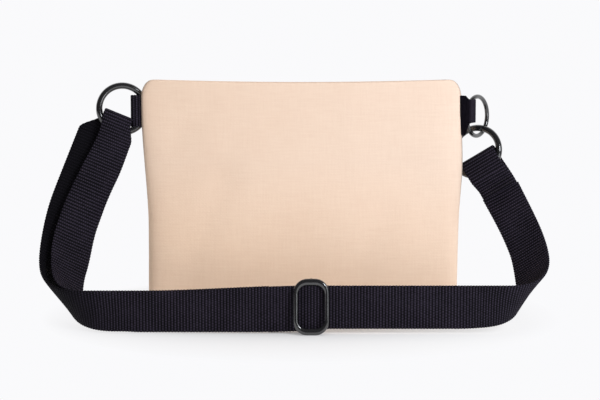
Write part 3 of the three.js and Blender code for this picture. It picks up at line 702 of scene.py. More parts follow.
@dataclass
class Pouch:
    """The sewn canvas pouch: two panels on a base, a rolled mouth and a lining inside."""

    wardrobe: Wardrobe
    height: float = 0.1525
    mouth_sag: float = 0.0018
    base_half_width: float = 0.099
    shoulder_half_width: float = 0.1032
    mouth_half_width: float = 0.0955
    flare_height: float = 0.054
    shoulder_height: float = 0.136
    corner_height: float = 0.141
    base_half_depth: float = 0.017
    belly_half_depth: float = 0.019
    belly_height: float = 0.040
    mouth_half_depth: float = 0.009
    base_squareness: float = 6.0
    mouth_squareness: float = 2.0
    square_zone: float = 0.100
    cloth: float = 0.0016
    seam_gap: float = 0.0003
    lining_cloth: float = 0.0007
    lining_height: float = 0.136
    base_cloth: float = 0.0018
    columns: int = 84
    wall_rows: int = 46
    corner_rows: int = 14
    hem_steps: int = 6
    swell_cap: float = 0.0022
    swell_smoothing: int = 24
    swell_frames: int = 16
    seam_grip: float = 0.05
    edge_grip: float = 0.06
    fuller: float = 0.0034
    fuller_at_base: float = 0.55
    fuller_height: float = 0.088
    dents: tuple[Dent, ...] = (
        Dent((-0.082, 0.012), (-0.050, 0.088), 0.0010, 0.0105),
        Dent((0.030, 0.018), (0.052, 0.066), 0.0008, 0.0105),
        Dent((-0.062, 0.135), (-0.090, 0.100), 0.0006, 0.009),
    )
    swell: dict[Side, Grid] = field(default_factory=dict)

    def half_width(self, z: float) -> float:
        """Half of the pouch's width at a height."""
        if z > self.corner_height:
            up = min((z - self.corner_height) / (self.height - self.corner_height), 1.0)
            return mix(self.mouth_half_width, self.shoulder_half_width, math.sqrt(1 - up * up))
        flare = ease((z - self.flare_height) / (self.shoulder_height - self.flare_height))
        return mix(self.base_half_width, self.shoulder_half_width, flare)

    def half_depth(self, z: float) -> float:
        """Half of the pouch's depth at a height."""
        if z < self.belly_height:
            return mix(self.base_half_depth, self.belly_half_depth, ease(z / self.belly_height))
        rise = (z - self.belly_height) / (self.height - self.belly_height)
        return mix(self.belly_half_depth, self.mouth_half_depth, ease(rise))

    def section(self, angle: float, z: float, inset: float) -> Vector:
        """A point on the section at a height, from an angle round it."""
        square = mix(self.base_squareness, self.mouth_squareness, math.sqrt(ease(z / self.square_zone)))
        x = (self.half_width(z) - inset) * signed_power(math.cos(angle), 2 / square)
        y = (self.half_depth(z) - inset) * signed_power(math.sin(angle), 2 / square)
        return Vector((x, y, z))

    def outline(self, side: Side, z: float, inset: float) -> list[Vector]:
        """Half of a section, from the left seam to the right one.

        Args:
            side: which face it belongs to.
            z: its height.
            inset: how far inside the pouch's face it lies.

        Returns:
            Points at even steps along it.
        """
        steps = 4 * self.columns
        dense = [self.section(math.pi * (1 - k / steps), z, inset) for k in range(steps + 1)]
        lengths = [0.0]
        for before, after in zip(dense, dense[1:]):
            lengths.append(lengths[-1] + (after - before).length)
        points = []
        k = 0
        for column in range(self.columns + 1):
            target = lengths[-1] * column / self.columns
            while k < steps - 1 and lengths[k + 1] < target:
                k += 1
            share = (target - lengths[k]) / max(lengths[k + 1] - lengths[k], TINY)
            point = mix(dense[k], dense[k + 1], min(share, 1.0))
            points.append(self.settled(Vector((point.x, side.value * (point.y + self.seam_gap / 2), z))))
        return points

    def settled(self, point: Vector) -> Vector:
        """A point of the wall, lowered where the mouth sags and moved out on the fuller right side."""
        dip = self.mouth_sag * (1 - min(abs(point.x) / self.mouth_half_width, 1.0) ** 2)
        moved = point.copy()
        moved.z -= point.z / self.height * dip * ease(point.z / self.height)
        low = mix(self.fuller_at_base, 1.0, ease(point.z / self.fuller_height))
        high = 1 - ease((point.z - self.fuller_height) / (self.shoulder_height - self.fuller_height))
        moved.x += self.fuller * min(low, high) * ease(point.x / self.base_half_width)
        if point.y < 0:
            moved.y += sum(dent.depth_at(point.x, point.z) for dent in self.dents)
        return moved

    def levels(self, top: float) -> list[float]:
        """Heights of the wall's rows, closer together where its top corners round off."""
        low = [self.shoulder_height * k / self.wall_rows for k in range(self.wall_rows)]
        span = self.height - self.shoulder_height
        quarter = math.pi / 2 / self.corner_rows
        high = [self.shoulder_height + span * math.sin(quarter * k) for k in range(self.corner_rows + 1)]
        kept = [z for z in low + high if z < top - self.seam_gap]
        return kept + [top]

    def wall(self, side: Side, inset: float, top: float) -> Grid:
        """A face of the wall, row by row, with the swell that its cloth has taken."""
        rows = []
        for row, z in enumerate(self.levels(top)):
            points = self.outline(side, z, inset)
            if side in self.swell:
                points = [p + moved for p, moved in zip(points, self.swell[side][row])]
            rows.append(points)
        return rows

    def fill_out(self) -> None:
        """Lets the sewn shell fill out as cloth does, held at its base, its seams and its mouth."""
        walls = {side: self.wall(side, 0.0, self.height) for side in Side}
        rows = len(walls[Side.FRONT])
        points = []
        for row in range(rows):
            points.extend(walls[Side.FRONT][row])
            points.extend(reversed(walls[Side.BACK][row][1:-1]))
        around = 2 * self.columns
        shell = mesh_piece("shell", points, grid_faces(rows, around, round_columns=True))
        held = shell.vertex_groups.new(name="held")
        for row in range(rows):
            for column in range(around):
                seam = min(column, abs(column - self.columns), around - column) / self.columns
                edge = min(row, rows - 1 - row) / rows
                grip = max(1 - ease(seam / self.seam_grip), 1 - ease(edge / self.edge_grip))
                held.add([row * around + column], grip, "REPLACE")
        cloth = shell.modifiers.new("cloth", "CLOTH")
        cloth.settings.quality = 6
        cloth.settings.mass = 0.25
        cloth.settings.tension_stiffness = 30
        cloth.settings.compression_stiffness = 30
        cloth.settings.bending_stiffness = 6
        cloth.settings.use_pressure = True
        cloth.settings.uniform_pressure_force = 0.9
        cloth.settings.vertex_group_mass = held.name
        cloth.settings.effector_weights.gravity = 0.25
        cloth.collision_settings.use_collision = False
        scene = bpy.context.scene
        for step in range(1, self.swell_frames + 1):
            scene.frame_set(step)
        shaped = shell.evaluated_get(bpy.context.evaluated_depsgraph_get()).to_mesh()
        moved = [v.co - p for v, p in zip(shaped.vertices, points)]
        cap = self.swell_cap
        moved = [m * (cap * math.tanh(m.length / cap) / max(m.length, TINY)) for m in moved]
        for _ in range(self.swell_smoothing):
            moved = self._eased(moved, rows, around)
        for side in Side:
            self.swell[side] = []
        for row in range(rows):
            ring = moved[row * around:(row + 1) * around]
            self.swell[Side.FRONT].append(ring[:self.columns + 1])
            back = [ring[0]] + list(reversed(ring[self.columns:]))
            self.swell[Side.BACK].append(back)
        scene.frame_set(1)
        bpy.data.objects.remove(shell)

    @staticmethod
    def _eased(moved: list[Vector], rows: int, around: int) -> list[Vector]:
        """Evens out each point's movement with its neighbours', but for the first and last rows."""
        eased = list(moved)
        for row in range(1, rows - 1):
            for column in range(around):
                here = row * around
                beside = moved[here + (column + 1) % around] + moved[here + (column - 1) % around]
                upright = moved[here + around + column] + moved[here - around + column]
                eased[here + column] = (moved[here + column] * 2 + beside + upright) / 6
        return eased

    def shell_piece(self, name: str, outer: Grid, hem: Grid, inner: Grid) -> bpy.types.Object:
        """A closed sheet of cloth with two faces.

        Args:
            name: the piece's name.
            outer: its outer face, row by row from the bottom.
            hem: the rows that roll over its top edge.
            inner: its inner face, row by row from the bottom.

        Returns:
            The object.
        """
        rows = outer + hem + inner[::-1]
        count, columns = len(rows), len(rows[0])
        faces = grid_faces(count, columns, round_rows=True)
        for end in (0, columns - 1):
            for r in range((count - 1) // 2):
                pair = (r, r + 1, count - 2 - r, count - 1 - r)
                corners = [row * columns + end for row in dict.fromkeys(pair)]
                faces.append(tuple(corners if end else reversed(corners)))
        return mesh_piece(name, [p for row in rows for p in row], faces)

    @staticmethod
    def cut(rows: Grid) -> Pair:
        """The flat size that a face was cut to: its longest row, and its length up the middle."""
        middle = len(rows[0]) // 2
        wide = max(Path(row).length for row in rows)
        return wide, Path([row[middle] for row in rows]).length

    def panel(self, side: Side, node: str) -> bpy.types.Object:
        """One canvas panel with its rolled top edge.

        Args:
            side: which face it is.
            node: the solid that it stands for.

        Returns:
            The object.
        """
        roll = self.cloth / 2
        outer = self.wall(side, 0.0, self.height - roll)
        inner = self.wall(side, self.cloth, self.height - roll)
        hem = []
        for step in range(1, self.hem_steps):
            angle = math.pi * step / self.hem_steps
            z = self.height - roll + roll * math.sin(angle)
            hem.append(self.outline(side, z, roll * (1 - math.cos(angle))))
        piece = self.shell_piece(f"pouch_{side.name.lower()}", outer, hem, inner)
        self.cut(outer)
        self.wardrobe.dress(piece, Slot.CANVAS)
        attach(piece, "bag")
        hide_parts(node)
        return piece

    def lining(self, side: Side, node: str) -> bpy.types.Object:
        """One side of the lining, hung inside its panel.

        Args:
            side: which face it lies behind.
            node: the solid that it stands for.

        Returns:
            The object.
        """
        inset = self.cloth + self.seam_gap
        outer = self.wall(side, inset, self.lining_height)
        inner = self.wall(side, inset + self.lining_cloth, self.lining_height)
        floor = self.base_cloth + self.seam_gap
        for row in (outer[0], inner[0]):
            for point in row:
                point.z = floor
        piece = self.shell_piece(f"lining_sheet_{side.name.lower()}", outer, [], inner)
        self.cut(outer)
        self.wardrobe.dress(piece, Slot.LINING)
        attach(piece, "bag")
        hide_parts(node)
        return piece

    def base(self) -> bpy.types.Object:
        """The base that the pouch stands on, with rounded edges.

        Returns:
            The object.
        """
        inset = self.cloth + self.seam_gap
        half = self.base_cloth / 2
        rings = []
        for step in range(self.hem_steps + 1):
            angle = math.pi * step / self.hem_steps
            in_here = inset + half * (1 - math.sin(angle))
            ring = []
            for column in range(2 * self.columns):
                point = self.section(math.pi * column / self.columns, 0.0, in_here)
                ring.append(Vector((point.x, point.y, half - half * math.cos(angle))))
            rings.append(ring)
        piece = tube_piece("pouch_base", rings, closed=False)
        self.wardrobe.dress(piece, Slot.CANVAS)
        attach(piece, "bag")
        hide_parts("base_panel")
        return piece

    def build(self) -> list[bpy.types.Object]:
        """Makes the whole pouch.

        Returns:
            Its pieces.
        """
        self.fill_out()
        return [
            self.panel(Side.FRONT, "front_panel"),
            self.panel(Side.BACK, "back_panel"),
            self.base(),
            self.lining(Side.FRONT, "lining_front"),
            self.lining(Side.BACK, "lining_back"),
        ]


# Webbing

class Path:
    """A line through points, measured by its length."""

    def __init__(self, points: Sequence[Vector]) -> None:
        """Measures the line."""
        self.points = list(points)
        self.lengths = [0.0]
        for before, after in zip(self.points, self.points[1:]):
            self.lengths.append(self.lengths[-1] + (after - before).length)
        self.length = self.lengths[-1]

    def at(self, distance: float) -> Vector:
        """The point at a distance along the line."""
        k = 0
        while k < len(self.points) - 2 and self.lengths[k + 1] < distance:
            k += 1
        share = (distance - self.lengths[k]) / (self.lengths[k + 1] - self.lengths[k])
        return mix(self.points[k], self.points[k + 1], share)

    @classmethod
    def rounded(cls, points: Sequence[Vector], steps: int = 8) -> "Path":
        """A smooth line through a few points.

        Args:
            points: the points that it passes.
            steps: how many short pieces each stretch has.

        Returns:
            The path.
        """
        ends = [2 * points[0] - points[1], *points, 2 * points[-1] - points[-2]]
        line = []
        for a, b, c, d in zip(ends, ends[1:], ends[2:], ends[3:]):
            for k in range(steps):
                t = k / steps
                bend = (2 * a - 5 * b + 4 * c - d) * t * t + (3 * b - a - 3 * c + d) * t * t * t
                line.append((2 * b + (c - a) * t + bend) / 2)
        return cls(line + [points[-1]])


@dataclass
class Ribbon:
    """A strip of webbing with a rib across it every few threads and scalloped edges.

    The surface gives its middle from the distance along it and the share across it, -0.5 to 0.5.
    The belt's own measure at its start, and the way that measure grows, place its ribs.
    """

    name: str
    surface: Callable[[float, float], Vector]
    length: float
    width: Callable[[float], float]
    thickness: float = 0.0016
    belt_start: float = 0.0
    belt_way: int = 1
    rib_pitch: float = 0.0019
    rib_depth: float = 0.00026
    scallop: float = 0.00022
    rows_per_rib: int = 5
    inner_columns: int = 8

    def shares(self, width: float) -> list[Pair]:
        """Places across the strip, each with the share of its half thickness there.

        Args:
            width: the strip's width.

        Returns:
            Pairs of place and thickness, from edge to edge.
        """
        edge = self.thickness / 2 / width
        rim = [(0.5, 0.0), (0.5 - 0.3 * edge, 0.71), (0.5 - edge, 1.0)]
        inside = 0.5 - edge
        flat = [(mix(-inside, inside, k / self.inner_columns), 1.0) for k in range(1, self.inner_columns)]
        return [(-place, full) for place, full in rim] + flat + rim[::-1]

    def build(self) -> bpy.types.Object:
        """Makes the strip.

        Returns:
            The object, with a map of metres along and across the belt.
        """
        rows = max(math.ceil(self.length / self.rib_pitch * self.rows_per_rib), 2)
        middle: Grid = []
        ribs, spans = [], []
        for row in range(rows + 1):
            along = self.length * row / rows
            width = self.width(along)
            belt = self.belt_start + self.belt_way * along
            crest = 0.5 - 0.5 * math.cos(TURN * belt / self.rib_pitch)
            spread = width + 2 * self.scallop * (crest - 0.5)
            places = self.shares(width)
            middle.append([self.surface(along, place * spread / width) for place, _ in places])
            ribs.append((belt, crest))
            spans.append([(place * spread, full) for place, full in places])
        points, places = [], []
        columns = len(middle[0])
        for row in range(rows + 1):
            belt, crest = ribs[row]
            half = self.thickness / 2 - self.rib_depth * (1 - crest)
            normals = [self._normal(middle, row, column) for column in range(columns)]
            span = spans[row]
            order = [(c, 1) for c in range(columns)] + [(c, -1) for c in range(columns - 2, 0, -1)]
            for column, face in order:
                points.append(middle[row][column] + normals[column] * (face * half * span[column][1]))
                places.append((belt, span[column][0]))
        ring = 2 * columns - 2
        faces = grid_faces(rows + 1, ring, round_columns=True)
        faces.append(tuple(reversed(range(ring))))
        faces.append(tuple(range(rows * ring, (rows + 1) * ring)))
        piece = mesh_piece(self.name, points, faces)
        self._map(piece, places)
        return piece

    @staticmethod
    def _normal(middle: Grid, row: int, column: int) -> Vector:
        """The direction out of the strip's face at a point of its middle."""
        rows, columns = len(middle), len(middle[0])
        run = middle[min(row + 1, rows - 1)][column] - middle[max(row - 1, 0)][column]
        over = middle[row][min(column + 1, columns - 1)] - middle[row][max(column - 1, 0)]
        return run.cross(over).normalized()

    @staticmethod
    def _map(piece: bpy.types.Object, places: Sequence[Pair]) -> None:
        """Writes each point's place on the belt into the piece's map."""
        layer = piece.data.uv_layers.new(name=WEAVE_MAP)
        corners = [0] * len(piece.data.loops)
        piece.data.loops.foreach_get("vertex_index", corners)
        layer.uv.foreach_set("vector", [part for corner in corners for part in places[corner]])


@dataclass(frozen=True)
class Axes:
    """A strip's directions: up its run, across it, and out towards the viewer."""

    run: Vector
    across: Vector
    out: Vector


@dataclass(frozen=True)
class Roll:
    """How the flat belt turns over a slanting line at a corner.

    Slant is the line's angle from the floor and turn the whole turn, both in degrees. Length is the
    webbing that the roll takes up, and loosening says how fast it opens.
    """

    side: int
    slant: float
    length: float
    turn: float
    loosening: float

    STEPS = 120
    PROBE = 0.0005

    def table(self) -> list[Pair]:
        """How far the webbing has gone ahead and back after each step of the roll."""
        places = [(0.0, 0.0)]
        for k in range(self.STEPS):
            opened = 1 - (1 - (k + 0.5) / self.STEPS) ** self.loosening
            angle = math.radians(self.turn) * opened
            ahead, deep = places[-1]
            step = self.length / self.STEPS
            places.append((ahead + step * math.cos(angle), deep + step * math.sin(angle)))
        return places

    def place(self, table: list[Pair], along: float, across: float) -> Vector:
        """A point of the webbing, measured from the middle of the roll's line.

        Args:
            table: the roll's table.
            along: how far along the belt the point is.
            across: how far up the belt's width it is.

        Returns:
            Its place outwards, backwards and upwards.
        """
        slant = math.radians(self.slant)
        lineward = along * math.cos(slant) + across * math.sin(slant)
        ahead, deep = self.offset(table, along * math.sin(slant) - across * math.cos(slant))
        outward = lineward * math.cos(slant) + ahead * math.sin(slant)
        return Vector((outward, deep, lineward * math.sin(slant) - ahead * math.cos(slant)))

    def offset(self, table: list[Pair], rolled: float) -> Pair:
        """How far ahead and back the webbing is after a length of the roll."""
        if rolled <= 0:
            return rolled, 0.0
        if rolled >= self.length:
            beyond = rolled - self.length
            turn = math.radians(self.turn)
            return table[-1][0] + beyond * math.cos(turn), table[-1][1] + beyond * math.sin(turn)
        spot = rolled / self.length * self.STEPS
        step = int(spot)
        near, far = table[step], table[step + 1]
        return mix(near[0], far[0], spot - step), mix(near[1], far[1], spot - step)

    def axes(self) -> Axes:
        """The webbing's directions once it has rolled over and rises to its ring."""
        table = self.table()
        far = 2 * self.length
        here = self.place(table, far, 0.0)
        run = (self.place(table, far + self.PROBE, 0.0) - here).normalized()
        across = self.place(table, far, self.PROBE) - here
        across = (across - run * across.dot(run)).normalized()
        run.x *= self.side
        across.x *= self.side
        out = run.cross(across)
        return Axes(run, across, out if out.y < 0 else -out)


class RolledRun:
    """Webbing from the belt's front, over its roll and up to where it meets a ring."""

    def __init__(self, roll: Roll, y: float, middle_z: float, target: Vector) -> None:
        """Sets the roll so that the webbing's middle line ends at the target.

        Args:
            roll: the corner's roll.
            y: where the flat webbing stands.
            middle_z: the height of its middle.
            target: where its middle line ends.
        """
        self.roll, self.y, self.middle_z = roll, y, middle_z
        self.table = roll.table()
        slant, turn = math.radians(roll.slant), math.radians(roll.turn)
        rolled_ahead, rolled_deep = self.table[-1]
        beyond = (target.y - y - rolled_deep) / math.sin(turn)
        rolled = roll.length + beyond
        ahead = rolled_ahead + beyond * math.cos(turn)
        lineward = (target.z - middle_z + ahead * math.cos(slant)) / math.sin(slant)
        self.start = roll.side * target.x - lineward * math.cos(slant) - ahead * math.sin(slant)
        self.end = lineward * math.cos(slant) + rolled * math.sin(slant)
        self.lead = lineward * math.sin(slant) - rolled * math.cos(slant)

    def point(self, along: float, across: float) -> Vector:
        """A point of the webbing."""
        outward, deep, up = self.roll.place(self.table, along, across)
        return Vector((self.roll.side * (self.start + outward), self.y + deep, self.middle_z + up))

    def flat_end(self, width: float, thickness: float) -> float:
        """How far before the roll's middle the webbing's lower edge already begins to roll."""
        return width / 2 / math.tan(math.radians(self.roll.slant)) + thickness


@dataclass(frozen=True)
class RingPlace:
    """A ring's centre and the directions of its plane: towards the bag, up, and out of the plane."""

    centre: Vector
    towards_bag: Vector
    up: Vector
    normal: Vector

    @classmethod
    def facing(cls, centre: Vector, normal: Vector, bagward: int) -> "RingPlace":
        """A ring's place from the direction that it faces.

        Args:
            centre: its centre.
            normal: the direction out of its plane.
            bagward: the sign of X towards the bag.

        Returns:
            The place.
        """
        up = (Vector((0, 0, 1)) - normal * normal.z).normalized()
        towards = up.cross(normal)
        if towards.x * bagward < 0:
            return cls(centre, -towards, up, -normal)
        return cls(centre, towards, up, normal)


@dataclass(frozen=True)
class Fold:
    """Where the belt is folded through a ring."""

    centre: Vector
    axes: Axes

    def beside(self, towards_viewer: int, radius: float) -> Vector:
        """The middle of the webbing beside the fold's centre, before it (1) or behind it (-1)."""
        return self.centre + self.axes.out * (towards_viewer * radius)


@dataclass
class Rigging:
    """Where the rings hang beside the pouch and where the belt folds through them."""

    pouch: Pouch
    left_standoff: float = 0.0123
    left_setback: float = 0.0028
    left_height: float = 0.1335
    small_standoff: float = 0.0117
    small_setback: float = 0.013
    small_height: float = 0.1282
    small_turn: float = 53.0
    strap_ring_hang: Triple = (-0.0008, -0.0035, -0.023)
    left_fold_across: float = 0.0039
    left_fold_down: float = 0.0066
    right_fold_across: float = 0.0002
    right_fold_down: float = 0.006
    right_roll: Roll = Roll(1, 59.5, 0.0845, 148.2, 2.0)
    inner_roll: Roll = Roll(-1, 56.0, 0.1015, 164.3, 2.6)
    outer_roll: Roll = Roll(-1, 56.0, 0.0945, 164.3, 1.64)

    def left_ring(self) -> RingPlace:
        """The place of the ring in the left tab."""
        x = -(self.pouch.half_width(self.left_height) + self.left_standoff)
        centre = Vector((x, self.left_setback, self.left_height))
        return RingPlace.facing(centre, self.inner_roll.axes().out, 1)

    def small_ring(self) -> RingPlace:
        """The place of the small ring in the right tab."""
        x = self.pouch.half_width(self.small_height) + self.small_standoff
        turn = math.radians(self.small_turn)
        normal = Vector((math.sin(turn), -math.cos(turn), 0))
        return RingPlace.facing(Vector((x, self.small_setback, self.small_height)), normal, -1)

    def strap_ring(self) -> RingPlace:
        """The place of the ring that hangs on the small ring."""
        centre = self.small_ring().centre + Vector(self.strap_ring_hang)
        return RingPlace.facing(centre, self.right_roll.axes().out, -1)

    def left_fold(self) -> Fold:
        """The fold through the left ring."""
        ring = self.left_ring()
        centre = ring.centre - ring.towards_bag * self.left_fold_across - ring.up * self.left_fold_down
        return Fold(centre, self.inner_roll.axes())

    def right_fold(self) -> Fold:
        """The sewn loop in the strap ring."""
        axes, ring = self.right_roll.axes(), self.strap_ring()
        centre = ring.centre - ring.towards_bag * self.right_fold_across - axes.run * self.right_fold_down
        return Fold(centre, axes)


@dataclass
class Belt:
    """The webbing belt, from its sewn end in the strap ring to the one on the slider's bar."""

    wardrobe: Wardrobe
    rigging: Rigging
    width: float = 0.025
    thickness: float = 0.0016
    middle_z: float = 0.0171
    front_y: float = -0.070
    inner_y: float = -0.068
    bend_radius: float = 0.0033
    leg: float = 0.0126
    taper: float = 0.005
    stitched: float = 0.0063
    bunch: float = 0.025
    left_fold_width: float = 0.019
    left_leg_width: float = 0.022
    right_fold_width: float = 0.0246
    right_leg_width: float = 0.0248
    stand_off: float = 0.003
    inner_off: float = 0.0028
    right_off: float = 0.0024
    left_tuck: float = 0.0022
    fuller_foot: float = 0.0018
    low_foot: float = 0.003
    deepest: float = 0.0038
    slider_x: float = 0.006
    slider_loop: float = 0.026
    loop_drop: float = 0.0006
    bar_y: float = -0.0653
    bar_bend: float = 0.0027
    window_half: float = 0.0086
    window_rise: float = 0.0012
    rise_width: float = 0.0258
    droop: float = 0.0034
    tuck: float = 0.0036
    stack_gap: float = 0.0001
    end_cut: float = 0.001
    foot_share: float = 0.35
    droop_to_left: Span = Span(-0.01, 0.11)
    droop_end: Span = Span(0.03, 0.06)
    tuck_to_right: Span = Span(0.098, 0.035)
    tuck_end: Span = Span(0.008, 0.055)
    left_tuck_to_left: Span = Span(0.1, 0.035)
    left_tuck_end: Span = Span(0.012, 0.022)
    low_foot_to_right: Span = Span(-0.08, 0.05)
    low_foot_to_left: Span = Span(-0.02, 0.03)
    foot_to_right: Span = Span(-0.11, 0.03)
    foot_to_left: Span = Span(-0.135, 0.04)
    outer_rise: Span = Span(0.04, 0.04)
    inner_rise: Span = Span(0.034, 0.026)
    inner_end: Span = Span(0.07, 0.04)
    right_rise: Span = Span(0.02, 0.022)
    right_to_right: Span = Span(0.11, 0.022)

    def __post_init__(self) -> None:
        """Sets the rolled runs in their places."""
        rigging, radius = self.rigging, self.bend_radius
        left, right = rigging.left_fold(), rigging.right_fold()
        self.loop = self.leg + self.taper + self.stitched
        self.right = RolledRun(rigging.right_roll, self.front_y, self.middle_z, right.beside(-1, radius))
        self.inner = RolledRun(rigging.inner_roll, self.inner_y, self.middle_z, left.beside(1, radius))
        self.outer = RolledRun(rigging.outer_roll, self.front_y, self.middle_z, left.beside(-1, radius))

    def settled(self, point: Vector) -> Vector:
        """A point of the belt, let down to the floor, fuller at its foot and drawn in at both corners."""
        rightward, leftward, up = point.x, -point.x, point.z
        moved = point.copy()
        dropped = self.droop * self.droop_to_left.share(leftward)
        moved.z -= dropped * (1 - self.droop_end.share(up))
        tucked = 1 - self.tuck_end.share(up)
        moved.x -= self.tuck * self.tuck_to_right.share(rightward) * tucked
        cornered = 1 - self.left_tuck_end.share(up)
        moved.x += self.left_tuck * self.left_tuck_to_left.share(leftward) * cornered
        beside_slider = self.low_foot_to_right.share(rightward) * self.low_foot_to_left.share(leftward)
        foot = mix(self.fuller_foot, self.low_foot, beside_slider) * self.foot_to_right.share(rightward)
        foot = min(foot, self.deepest - dropped)
        lower_half = ease((self.middle_z - up) / (self.width / 2))
        moved.z -= foot * lower_half * self.foot_to_left.share(leftward)
        return moved

    def hung(self, run: RolledRun, point: Vector) -> Vector:
        """A point of a side run, hung as the belt's own weight and stiffness leave it."""
        moved = point.copy()
        if run is self.outer:
            moved.x -= self.stand_off * self.outer_rise.share(point.z)
        elif run is self.inner:
            ended = self.inner_end.share(point.z)
            moved.x -= self.inner_off * self.inner_rise.share(point.z) * (1 - ended)
        else:
            leant = self.right_rise.share(point.z) * self.right_to_right.share(point.x)
            moved.x += self.right_off * leant
        return moved

    def end_lean(self, below: float) -> Vector:
        """How far the belt's right end leans out at a distance below its fold."""
        return Vector((self.right_off * ease(below / self.loop), 0, 0))

    def flat(self, run: RolledRun) -> float:
        """How far before its roll's middle a run stops being flat."""
        return run.flat_end(self.width, self.thickness)

    def side_run(self, name: str, run: RolledRun, top: float, top_width: float, belt_start: float,
                 belt_way: int) -> bpy.types.Object:
        """The belt from a corner of its front up towards a ring.

        Args:
            name: the piece's name.
            run: its rolled run.
            top: how far along the run it ends.
            top_width: how wide it is there.
            belt_start: the belt's measure at its lower end.
            belt_way: whether that measure grows towards the ring.

        Returns:
            The object.
        """
        start = -self.flat(run)
        length = top - start

        def width(along: float) -> float:
            return mix(self.width, top_width, ease((along - length + self.bunch) / self.bunch))

        def surface(along: float, share: float) -> Vector:
            return self.settled(self.hung(run, run.point(start + along, share * width(along))))

        return Ribbon(name, surface, length, width, self.thickness, belt_start, belt_way).build()

    def standing_run(self, name: str, low_x: float, high_x: float, y: float, belt_start: float,
                     belt_way: int) -> bpy.types.Object:
        """A stretch of the belt that stands on edge in front of the pouch.

        Args:
            name: the piece's name.
            low_x: its left end.
            high_x: its right end.
            y: where it stands.
            belt_start: the belt's measure at its left end.
            belt_way: whether that measure grows to the right.

        Returns:
            The object.
        """
        def surface(along: float, share: float) -> Vector:
            return self.settled(Vector((low_x + along, y, self.middle_z + share * self.width)))

        strip = Ribbon(name, surface, high_x - low_x, lambda along: self.width, self.thickness)
        strip.belt_start, strip.belt_way = belt_start, belt_way
        return strip.build()

    def left_fold(self, belt_start: float) -> tuple[bpy.types.Object, float]:
        """The fold through the left ring, from the outer layer over to the inner one.

        Args:
            belt_start: the belt's measure at the foot of its back leg.

        Returns:
            The object and the belt's measure at the foot of its front leg.
        """
        fold = self.rigging.left_fold()
        axes = fold.axes
        bend = math.pi * self.bend_radius
        length = 2 * self.leg + bend

        def spread(along: float) -> float:
            return ease(max(self.leg - along, along - self.leg - bend, 0.0) / self.leg)

        def width(along: float) -> float:
            foot = self.width if along < length / 2 else self.left_leg_width
            return mix(self.left_fold_width, foot, spread(along))

        def surface(along: float, share: float) -> Vector:
            angle = math.pi - min(max((along - self.leg) / self.bend_radius, 0.0), math.pi)
            facing = axes.out * math.cos(angle) + axes.run * math.sin(angle)
            below = max(self.leg - along, along - self.leg - bend, 0.0)
            lead = -(self.outer if along < length / 2 else self.inner).lead * spread(along)
            middle = fold.centre + facing * self.bend_radius - axes.run * below
            if along < length / 2:
                middle.x -= self.stand_off * spread(along)
            return middle + axes.across * (lead + share * width(along))

        strip = Ribbon("belt_left_fold", surface, length, width, self.thickness, belt_start, -1)
        return strip.build(), belt_start - length

    def end_loop(self, belt_start: float) -> bpy.types.Object:
        """The belt's end, turned through the strap ring and sewn down on itself.

        Args:
            belt_start: the belt's measure at the loop's foot.

        Returns:
            The object.
        """
        fold = self.rigging.right_fold()
        radius = self.bend_radius
        stacked = -radius + self.thickness + self.stack_gap
        turn = [(radius * math.cos(a), radius * math.sin(a)) for a in self._half_turn(math.pi, 0.0)]
        line = [(-radius, -self.loop), *turn, (radius, -self.leg), (stacked, -self.leg - self.taper)]
        line.append((stacked, -self.loop))
        axes = fold.axes
        path = Path([fold.centre + axes.out * x + axes.run * y for x, y in line])

        bend_start, bend_end = self.loop, self.loop + math.pi * radius

        def width(along: float) -> float:
            below = max(bend_start - along, along - bend_end, 0.0)
            return mix(self.right_fold_width, self.right_leg_width, ease(below / self.leg))

        def surface(along: float, share: float) -> Vector:
            middle = path.at(along)
            below = max(-(middle - fold.centre).dot(axes.run), 0.0)
            return middle + self.end_lean(below) + axes.across * (share * width(along))

        strip = Ribbon("belt_end_loop", surface, path.length, width)
        strip.belt_start = belt_start
        return strip.build()

    def bar_loop(self, belt_start: float) -> bpy.types.Object:
        """The belt's other end, sewn round the slider's bar.

        Args:
            belt_start: the belt's measure where it meets the inner run.

        Returns:
            The object.
        """
        start_x = self.slider_x - self.slider_loop
        radius = self.bar_bend
        stacked = self.inner_y + self.thickness + self.stack_gap
        turn = [(self.slider_x + radius * math.cos(a), self.bar_y + radius * math.sin(a))
                for a in self._half_turn(-math.pi / 2, math.pi / 2)]
        lifted = self.slider_x - radius
        line = [(start_x, self.inner_y), *turn, (lifted, self.bar_y + radius)]
        line += [(lifted - self.taper, stacked), (start_x + self.end_cut, stacked)]
        path = Path([Vector((x, y, self.middle_z)) for x, y in line])

        def surface(along: float, share: float) -> Vector:
            return self.settled(path.at(along) + Vector((0, 0, share * self.width - self.loop_drop)))

        strip = Ribbon("belt_bar_loop", surface, path.length, lambda along: self.width)
        strip.belt_start, strip.belt_way = belt_start, -1
        return strip.build()

    @staticmethod
    def _half_turn(first: float, last: float, steps: int = 12) -> list[float]:
        """Angles of a half turn, at even steps."""
        return [mix(first, last, k / steps) for k in range(steps + 1)]

    def bar_rise(self) -> bpy.types.Object:
        """The front of the belt where it rises over the slider's bar, inside the slider's window.

        Returns:
            The object.
        """
        skin = 0.0005
        face = self.front_y - self.thickness / 2 - skin / 2

        def surface(along: float, share: float) -> Vector:
            x = along - self.window_half
            rise = self.window_rise * math.cos(math.pi * x / 2 / self.window_half) ** 2
            place = Vector((self.slider_x + x, face - rise, self.middle_z + share * self.rise_width))
            return self.settled(place)

        strip = Ribbon("belt_bar_rise", surface, 2 * self.window_half, lambda along: self.rise_width)
        strip.thickness, strip.rib_depth = skin, skin / 4
        strip.belt_start = self.slider_x - self.window_half
        return strip.build()

